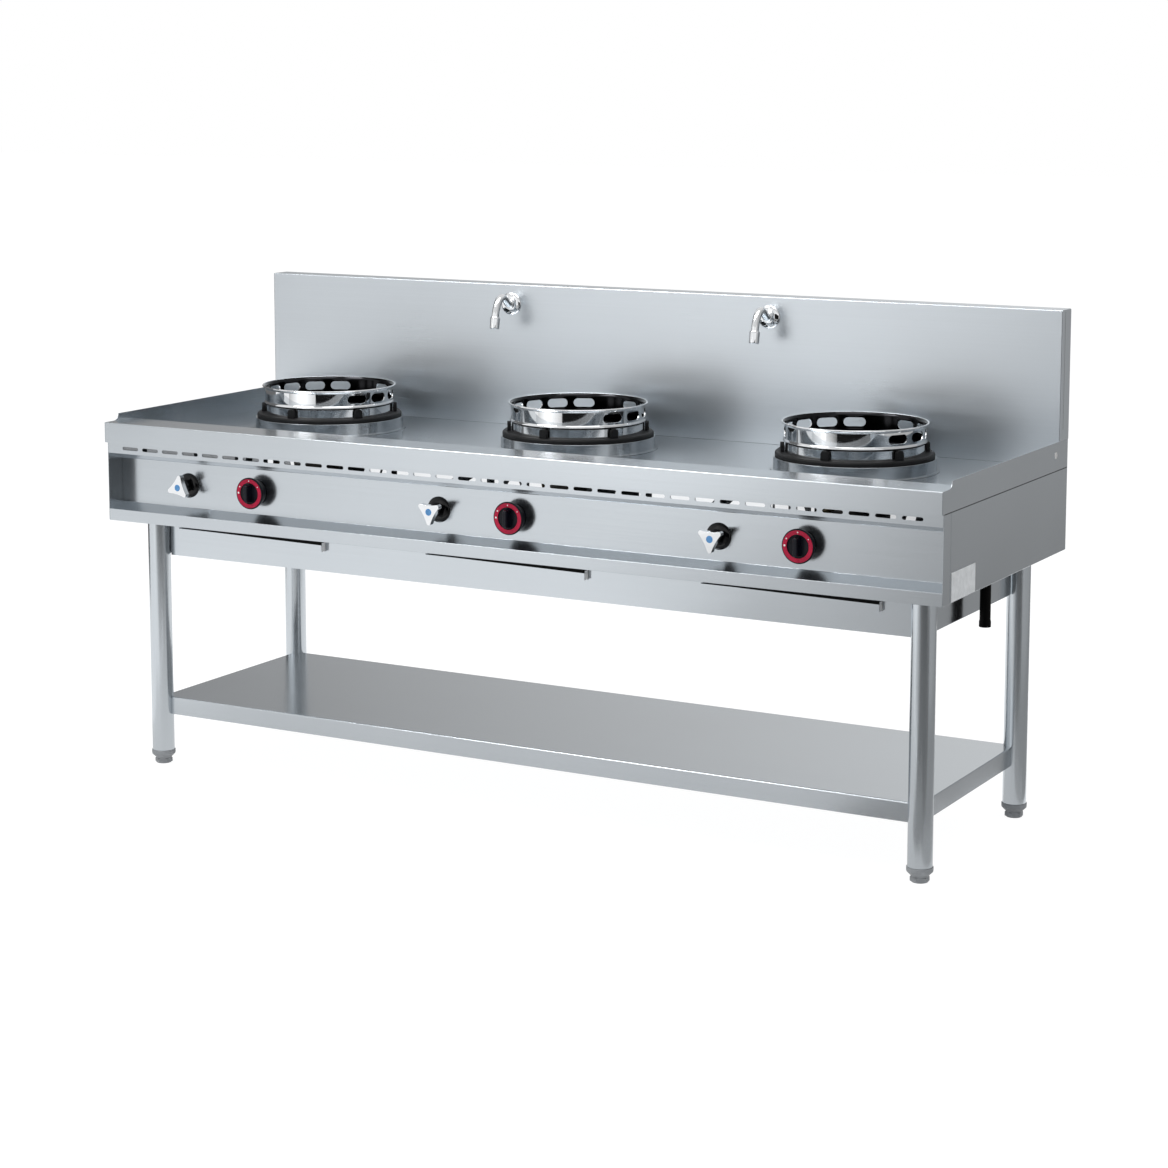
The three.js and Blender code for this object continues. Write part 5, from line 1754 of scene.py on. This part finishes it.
@dataclass
class WaterTap:
    """One water tap: black rosette and collar, a chrome valve behind the panel, and a three-lobed
    chrome handle with a blue cap.
    """

    number: int
    x: float
    turn: float = 0.0
    panel: float = -0.293
    z: float = 0.654
    lobe_reach: float = 0.023
    lobe_tip: float = 0.005
    hub: float = 0.0125
    face: float = 0.042
    thickness: float = 0.0128
    lobe_steps: int = 8
    waist_steps: int = 10
    valve_half: float = 0.015
    valve_length: float = 0.04
    barrel_radius: float = 0.011
    spindle_radius: float = 0.004
    neck_radius: float = 0.006
    gland_profile: tuple[Point2, ...] = ((0, 0), (0.0128, 0), (0.0128, 0.007), (0, 0.007))
    rosette_profile: tuple[Point2, ...] = (
        (0, 0.0003), (0.0275, 0.0003), (0.0275, 0.0016), (0.0266, 0.0034), (0.0242, 0.0054),
        (0.0202, 0.0071), (0.0152, 0.008), (0, 0.0082))
    collar_profile: tuple[Point2, ...] = (
        (0, 0.0094), (0.0125, 0.0094), (0.0138, 0.0112), (0.0138, 0.0262),
        (0.0125, 0.0292), (0.0095, 0.0298), (0, 0.0298))
    cap_profile: tuple[Point2, ...] = (
        (0, -0.0006), (0.0078, -0.0006), (0.0078, 0.0004), (0.0072, 0.0008), (0, 0.001))

    def build(self) -> None:
        """Makes the rosette, the valve, the collar, the handle and its blue cap."""
        place = (self.x, self.panel, self.z)
        rosette = turned(f"tap_rosette_{self.number}", self.rosette_profile, 64)
        put(smooth(rosette, 40), place, Facing.FRONT)
        mount(rosette, FRAME_BODY, Finish.TAP_BLACK, "black_plastic")
        self.build_valve()
        body = f"water_handle_{self.number}"
        collar = fitting(f"handle_collar_{self.number}", self.collar_profile, 48, 0.0006, place)
        mount(collar, body, Finish.TAP_BLACK, "black_plastic")
        handle = put(self.handle(), place, Facing.FRONT, roll=-self.turn)
        mount(handle, body, Finish.POLISHED_CHROME, "chrome", body)
        cap = turned(f"handle_cap_{self.number}", self.cap_profile, 40)
        put(smooth(cap), (self.x, self.panel - self.face + 0.0007, self.z), Facing.FRONT)
        mount(cap, body, Finish.CAP_BLUE, "black_plastic")

    def build_valve(self) -> None:
        """Makes the valve behind the panel: its block, gland, barrel, spindle and neck."""
        low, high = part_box(f"water_valve_{self.number}")
        x, y, z = self.x, high.y - self.valve_length / 2, self.z
        half, front, overlap = self.valve_half, high.y - self.valve_length, 0.002
        valve = block(f"tap_valve_{self.number}", (x - half, front, z - half),
                      (x + half, high.y, z + half))
        ease(valve, 0.003, 4)
        gland = fitting("gland", self.gland_profile, 6, 0.0008, (x, y, low.z + 0.001), Facing.UP)
        barrel = self.rod(self.barrel_radius, (x, self.panel, z), front + overlap, Facing.BACK)
        spindle = self.rod(self.spindle_radius, (x, self.panel - 0.008, z), low.y, Facing.FRONT)
        neck_top = z - half + overlap
        neck = turned("neck", [(0, low.z), (self.neck_radius, low.z),
                               (self.neck_radius, neck_top), (0, neck_top)], 32)
        put(neck, (x, y, 0))
        valve = join(valve.name, [valve, gland, barrel, spindle, neck])
        mount(smooth(valve), FRAME_BODY, Finish.POLISHED_CHROME, "chrome",
              f"water_valve_{self.number}")

    @staticmethod
    def rod(radius: float, place: Point3, end: float, facing: Facing) -> bpy.types.Object:
        """Turns a plain rod to the front or the back.

        Args:
            radius: The rod's radius.
            place: Where it starts.
            end: The Y at which it ends.
            facing: Which of the two ways it goes.

        Returns:
            The rod.
        """
        length = abs(end - place[1])
        profile = [(0, 0), (radius, 0), (radius, length), (0, length)]
        return fitting("rod", profile, 32, 0.0005, place, facing)

    def handle(self) -> bpy.types.Object:
        """Cuts the three-lobed handle and rounds it like a casting.

        Returns:
            The handle, with its axis upwards.
        """
        outline = []
        steps, third = self.lobe_steps, 2 * math.pi / 3
        for i in range(3):
            middle = i * third
            for k in range(steps + 1):
                turn = middle + math.pi / 3 * (2 * k / steps - 1)
                outline.append((
                    self.lobe_reach * math.cos(middle) + self.lobe_tip * math.cos(turn),
                    self.lobe_reach * math.sin(middle) + self.lobe_tip * math.sin(turn)))
            outline += self.waist(outline[-1], middle, middle + third)
        plate = cut_plate(f"handle_cast_{self.number}", [outline], self.thickness)
        put(plate, (0, 0, self.face - self.thickness / 2))
        ease(plate, 0.0022, 4, 50)
        return plate

    def waist(self, start: Point2, middle: float, following: float) -> list[Point2]:
        """Outlines the hollow side between two lobes, without its ends.

        Args:
            start: The last point of the lobe before it.
            middle: Where that lobe points, in radians.
            following: Where the next lobe points.

        Returns:
            The points.
        """
        turn = following - math.pi / 3
        end = (self.lobe_reach * math.cos(following) + self.lobe_tip * math.cos(turn),
               self.lobe_reach * math.sin(following) + self.lobe_tip * math.sin(turn))
        bend = (middle + following) / 2
        pull = (self.hub * math.cos(bend), self.hub * math.sin(bend))
        points = []
        for k in range(1, self.waist_steps):
            t = k / self.waist_steps
            points.append(tuple((1 - t) ** 2 * a + 2 * t * (1 - t) * b + t * t * c
                                for a, b, c in zip(start, pull, end)))
        return points


@dataclass
class Spout:
    """One swan-neck wall spout with its rosette and aerator."""

    side: Side
    reach: float = 0.3285
    wall: float = 0.3
    z: float = 1.034
    radius: float = 0.0088
    neck: tuple[Point2, ...] = ((-0.0077, 0.0), (-0.012, 0.0), (-0.019, 0.005),
                                (-0.027, 0.0125), (-0.041, 0.0185), (-0.057, 0.0125),
                                (-0.0675, -0.006), (-0.0715, -0.019), (-0.0723, -0.026))
    rosette_profile: tuple[Point2, ...] = (
        (0, 0.0003), (0.026, 0.0003), (0.026, 0.0016), (0.0248, 0.0034), (0.0215, 0.0052),
        (0.0145, 0.0064), (0.0118, 0.0069), (0, 0.0069))
    base_profile: tuple[Point2, ...] = (
        (0, 0.0076), (0.0112, 0.0076), (0.0112, 0.0105), (0.0098, 0.0125), (0, 0.0125))
    nut_profile: tuple[Point2, ...] = (
        (0, -0.001), (0.0116, -0.001), (0.0116, -0.0125), (0, -0.0125))
    sleeve_profile: tuple[Point2, ...] = (
        (0, 0.0012), (0.0094, 0.0012), (0.0108, -0.001), (0.0112, -0.004), (0.0112, -0.0245),
        (0.0106, -0.0262), (0.0092, -0.0268), (0.0092, -0.022), (0, -0.022))
    aerator_at: Point2 = (-0.0722, -0.0255)
    aerator_tilt: float = math.pi / 20

    def build(self) -> None:
        """Makes the rosette, the neck with its base, and the aerator."""
        x = self.side.value * self.reach
        place = (x, self.wall, self.z)
        rosette = fitting(f"rosette_turned_{self.side}", self.rosette_profile, 64, 0.0003, place)
        mount(rosette, FRAME_BODY, Finish.POLISHED_CHROME, "chrome", f"spout_rosette_{self.side}")
        body = f"spout_{self.side}"
        points = [(x, self.wall + y, self.z + z) for y, z in self.neck]
        neck = bent_tube(f"spout_neck_{self.side}", points, self.radius, 40, 16)
        mount(smooth(neck, 50), body, Finish.POLISHED_CHROME, "chrome", body)
        base = fitting(f"spout_base_{self.side}", self.base_profile, 48, 0.0004, place)
        mount(base, body, Finish.POLISHED_CHROME, "chrome")
        self.build_aerator(x, body)

    def build_aerator(self, x: float, body: str) -> None:
        """Turns the aerator's nut and sleeve and tilts them with the neck's end.

        Args:
            x: The spout's middle.
            body: The body that the aerator moves with.
        """
        nut = ease(turned("nut", self.nut_profile, 6), 0.0007, 3)
        sleeve = ease(turned("sleeve", self.sleeve_profile, 56), 0.0004, 2)
        aerator = join(f"aerator_{self.side}", [sleeve, nut])
        aerator.rotation_euler = (-self.aerator_tilt, 0, 0)
        y, z = self.aerator_at
        aerator.location = (x, self.wall + y, self.z + z)
        settle(aerator)
        mount(aerator, body, Finish.POLISHED_CHROME, "chrome")


@dataclass
class Drain:
    """The drain pipe at the right end."""

    radius: float = 0.0122
    bore: float = 0.0101
    end: float = 0.4602
    top: float = 0.7512
    bead: Point2 = (0.001, 0.012)
    bead_slope: float = 0.002

    def build(self) -> None:
        """Makes the pipe with its end bead."""
        low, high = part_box("drain_pipe")
        place = ((low.x + high.x) / 2, (low.y + high.y) / 2, 0)
        rise, length = self.bead
        slim, bead_top = self.radius - rise, self.end + length
        pipe = fitting("drain_hose", [
            (self.bore, self.end), (self.radius, self.end), (self.radius, bead_top),
            (slim, bead_top + self.bead_slope), (slim, self.top), (self.bore, self.top)],
            48, 0.0005, place, Facing.UP)
        mount(pipe, FRAME_BODY, Finish.DRAIN_BLACK, "black_plastic", "drain_pipe")


# ---- What stays from the frame --------------------------------------------------------


@dataclass
class CarriedNodes:
    """The frame's own nodes that stay in view, each with the finish it gets."""

    finishes: dict[str, Finish] = field(default_factory=lambda: {
        "chassis_frame": Finish.ZINC,
        "tray_runner": Finish.ZINC,
        "gas_manifold": Finish.ZINC,
        "gas_valve": Finish.MACHINED_BRASS,
        "water_manifold": Finish.DRAWN_TUBE,
        "water_tube": Finish.DRAWN_TUBE,
        "drain_strainer": Finish.POLISHED_CHROME,
    })

    def dress_all(self, nodes: dict[str, bpy.types.Object]) -> None:
        """Gives each carried node its finish.

        Args:
            nodes: The frame's nodes by name.
        """
        for name, node in nodes.items():
            if node.hide_render:
                continue
            kind = name if name in self.finishes else name.rsplit("_", 1)[0]
            material = finish_of(self.finishes[kind])
            for place in node.material_slots:
                place.material = material
            LOG.info("%s keeps its shape, in %s", name, material.name)


# ---- Studio ---------------------------------------------------------------------------


@dataclass(frozen=True)
class Card:
    """A large card round the range that only shows in the metal's reflections."""

    name: str
    place: Point3
    size: Point2
    lean: float
    azimuth: float
    glow: Point2

    def build(self) -> None:
        """Stands or lays the card, with its glow running from one end to the other."""
        deselect_all()
        bpy.ops.mesh.primitive_plane_add(size=1, location=self.place, rotation=(
            math.radians(self.lean), 0, math.radians(self.azimuth)))
        card = bpy.context.object
        card.name = self.name
        card.scale = (*self.size, 1)
        graph = Graph(self.name)
        graph.tree.nodes.remove(graph.shader)
        shine = graph.add("ShaderNodeEmission")
        across = graph.add("ShaderNodeSeparateXYZ")
        graph.link(graph.place, across.inputs[0])
        graph.link(graph.spread(across.outputs[0], *self.glow, -0.5, 0.5),
                   shine.inputs["Strength"])
        graph.link(shine.outputs[0], graph.tree.nodes["Material Output"].inputs[0])
        card.data.materials.append(graph.material)
        card.visible_camera = False
        card.visible_diffuse = False
        card.visible_shadow = False


@dataclass
class Studio:
    """Pale floor, soft lamps, cards and the camera.

    The cards stand for the white and black boards round a studio shot: each one is seen only
    in gloss, so it shapes what the metal reflects and lights nothing.
    """

    camera: Point3 = (2.8529, -5.0363, 1.5975)
    yaw: float = 29.256
    pitch: float = 7.664
    lens: float = 83.19
    shift: float = -0.14
    sensor: float = 36.0
    aim: Point3 = (0.0, 0.0, 0.6)
    floor_colour: Colour = (0.93, 0.93, 0.93)
    floor_glow: float = 1.17
    floor_share: float = 0.8
    room_colour: Colour = (0.93, 0.96, 1.0)
    room_strength: float = 0.55
    lamps: tuple[tuple[str, Point3, float, float], ...] = (
        ("key_lamp", (-1.7, -1.8, 4.2), 1.8, 100.0),
        ("top_lamp", (0.6, -0.6, 4.2), 2.6, 60.0),
    )
    cards: tuple[Card, ...] = (
        Card("ceiling_flag", (0, 0, 4.4), (16, 16), 0, 0, (0.9, 0.7)),
        Card("front_flag", (2.18, -3.94, 0.8), (4.8, 1.6), 90, 29, (0.01, 0.01)),
        Card("ramp_flag", (-0.9, -4.6, 1.6), (2.2, 3.2), 90, -6, (1.6, 0.75)),
        Card("ramp_foot_flag", (-0.5, -4.45, 0.11), (1.5, 0.22), 90, -6, (0.9, 0.1)),
        Card("soft_flag", (-3.4, -4.9, 1.0), (2.9, 2.0), 90, -12, (0.55, 1.6)),
        Card("right_flag", (2.3, 2.3, 1.5), (5.8, 3.0), 90, 90, (0.52, 0.36)),
        Card("rear_flag", (-2.7, 4.0, 1.75), (6.6, 3.5), 90, 180, (0.95, 0.15)),
        Card("rear_right_flag", (1.45, 4.0, 1.75), (1.7, 3.5), 90, 180, (0.4, 0.4)),
        Card("left_flag", (-3.0, 0.6, 1.5), (2.4, 3.0), 90, -90, (0.15, 0.15)),
        Card("mat_far_flag", (-0.3, -3.6, 0.004), (1.8, 1.8), 0, 0, (1.0, 0.1)),
        Card("mat_near_flag", (0.1, -2.025, 0.004), (1.35, 1.35), 0, 0, (0.75, 0.4)),
        Card("mat_front_flag", (2.4, -2.45, 0.004), (3.6, 3.9), 0, 0, (0.25, 0.12)),
        Card("mat_right_flag", (2.65, 2.2, 0.004), (3.2, 5.6), 0, 0, (0.4, 0.2)),
        Card("mat_foot_flag", (0, -0.4, 0.004), (2.6, 1.4), 0, 0, (0.9, 0.7)),
    )

    def build(self) -> None:
        """Makes the floor, the world, the lamps and the camera."""
        self.build_floor()
        self.build_world()
        for name, place, size, power in self.lamps:
            self.build_lamp(name, place, size, power)
        for card in self.cards:
            card.build()
        self.build_camera()

    def build_floor(self) -> None:
        """Lays the pale floor, which keeps the object's shadow."""
        deselect_all()
        under_feet = -0.0005
        bpy.ops.mesh.primitive_plane_add(size=60, location=(0, 0, under_feet))
        floor = bpy.context.object
        floor.name = "studio_floor"
        material = bpy.data.materials.new("studio_floor")
        material.use_nodes = True
        tree = material.node_tree
        tree.nodes.remove(tree.nodes["Principled BSDF"])
        cloth = tree.nodes.new("ShaderNodeBsdfDiffuse")
        cloth.inputs["Color"].default_value = (*self.floor_colour, 1)
        glow = tree.nodes.new("ShaderNodeEmission")
        glow.inputs["Strength"].default_value = self.floor_glow
        mix = tree.nodes.new("ShaderNodeMixShader")
        tree.links.new(self.seen_share(tree, self.floor_share), mix.inputs[0])
        tree.links.new(cloth.outputs[0], mix.inputs[1])
        tree.links.new(glow.outputs[0], mix.inputs[2])
        tree.links.new(mix.outputs[0], tree.nodes["Material Output"].inputs[0])
        floor.data.materials.append(material)

    @staticmethod
    def seen_share(tree: bpy.types.NodeTree, share: float) -> bpy.types.NodeSocket:
        """Gives a share for rays from the camera, in gloss and through glass, else 0.

        Args:
            tree: The node tree of the floor or the world.
            share: What those rays get.

        Returns:
            The share.
        """
        path = tree.nodes.new("ShaderNodeLightPath")
        total = path.outputs["Is Camera Ray"]
        for name in ("Is Glossy Ray", "Is Transmission Ray"):
            either = tree.nodes.new("ShaderNodeMath")
            either.operation = "MAXIMUM"
            tree.links.new(total, either.inputs[0])
            tree.links.new(path.outputs[name], either.inputs[1])
            total = either.outputs[0]
        scaled = tree.nodes.new("ShaderNodeMath")
        scaled.operation = "MULTIPLY"
        scaled.inputs[1].default_value = share
        tree.links.new(total, scaled.inputs[0])
        return scaled.outputs[0]

    def build_world(self) -> None:
        """Lights the room evenly, with a white background."""
        world = bpy.data.worlds.new("studio")
        bpy.context.scene.world = world
        world.use_nodes = True
        tree = world.node_tree
        soft = tree.nodes["Background"]
        soft.inputs["Color"].default_value = (*self.room_colour, 1)
        soft.inputs["Strength"].default_value = self.room_strength
        white = tree.nodes.new("ShaderNodeBackground")
        white.inputs["Color"].default_value = (1, 1, 1, 1)
        white.inputs["Strength"].default_value = 1.0
        mix = tree.nodes.new("ShaderNodeMixShader")
        tree.links.new(self.seen_share(tree, 1.0), mix.inputs[0])
        tree.links.new(soft.outputs[0], mix.inputs[1])
        tree.links.new(white.outputs[0], mix.inputs[2])
        tree.links.new(mix.outputs[0], tree.nodes["World Output"].inputs[0])

    def build_lamp(self, name: str, place: Point3, size: float, power: float) -> None:
        """Hangs one soft lamp that points at the range.

        Args:
            name: The lamp's name.
            place: Where it hangs.
            size: Its side.
            power: Its power in watts.
        """
        deselect_all()
        bpy.ops.object.light_add(type="AREA", location=place)
        lamp = bpy.context.object
        lamp.name = name
        lamp.data.shape = "SQUARE"
        lamp.data.size = size
        lamp.data.energy = power
        way = Vector(self.aim) - Vector(place)
        lamp.rotation_euler = way.to_track_quat("-Z", "Y").to_euler()

    def build_camera(self) -> None:
        """Sets the camera at the photograph's angle."""
        deselect_all()
        bpy.ops.object.camera_add(location=self.camera)
        camera = bpy.context.object
        camera.name = "studio_camera"
        camera.rotation_euler = (math.radians(90 - self.pitch), 0, math.radians(self.yaw))
        camera.data.sensor_width = self.sensor
        camera.data.lens = self.lens
        camera.data.shift_y = self.shift
        camera.data.clip_end = 100.0
        scene = bpy.context.scene
        scene.camera = camera
        scene.view_settings.view_transform = "Standard"


def main() -> None:
    """Loads the frame, builds the studio and every sub-assembly on it, and dresses the frame's
    remaining nodes.
    """
    logging.basicConfig(level=logging.INFO, format="%(name)s: %(message)s")
    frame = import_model()
    Studio().build()
    worktop = Worktop()
    worktop.build()
    Splashback().build()
    panel = FrontPanel()
    panel.build()
    SidePanels().build()
    RearPanel().build()
    Fasteners().build()
    Stand().build()
    DripPan().build(worktop.burner_x)
    for i, x in enumerate(worktop.burner_x):
        BurnerPlace(i + 1, x).build()
        GasKnob(i + 1, panel.knob_x[i]).build()
        WaterTap(i + 1, panel.tap_x[i], math.radians(panel.tap_turn[i])).build()
    for side in Side:
        Spout(side).build()
    Drain().build()
    CarriedNodes().dress_all(frame["nodes"])


if __name__ == "__main__":
    main()
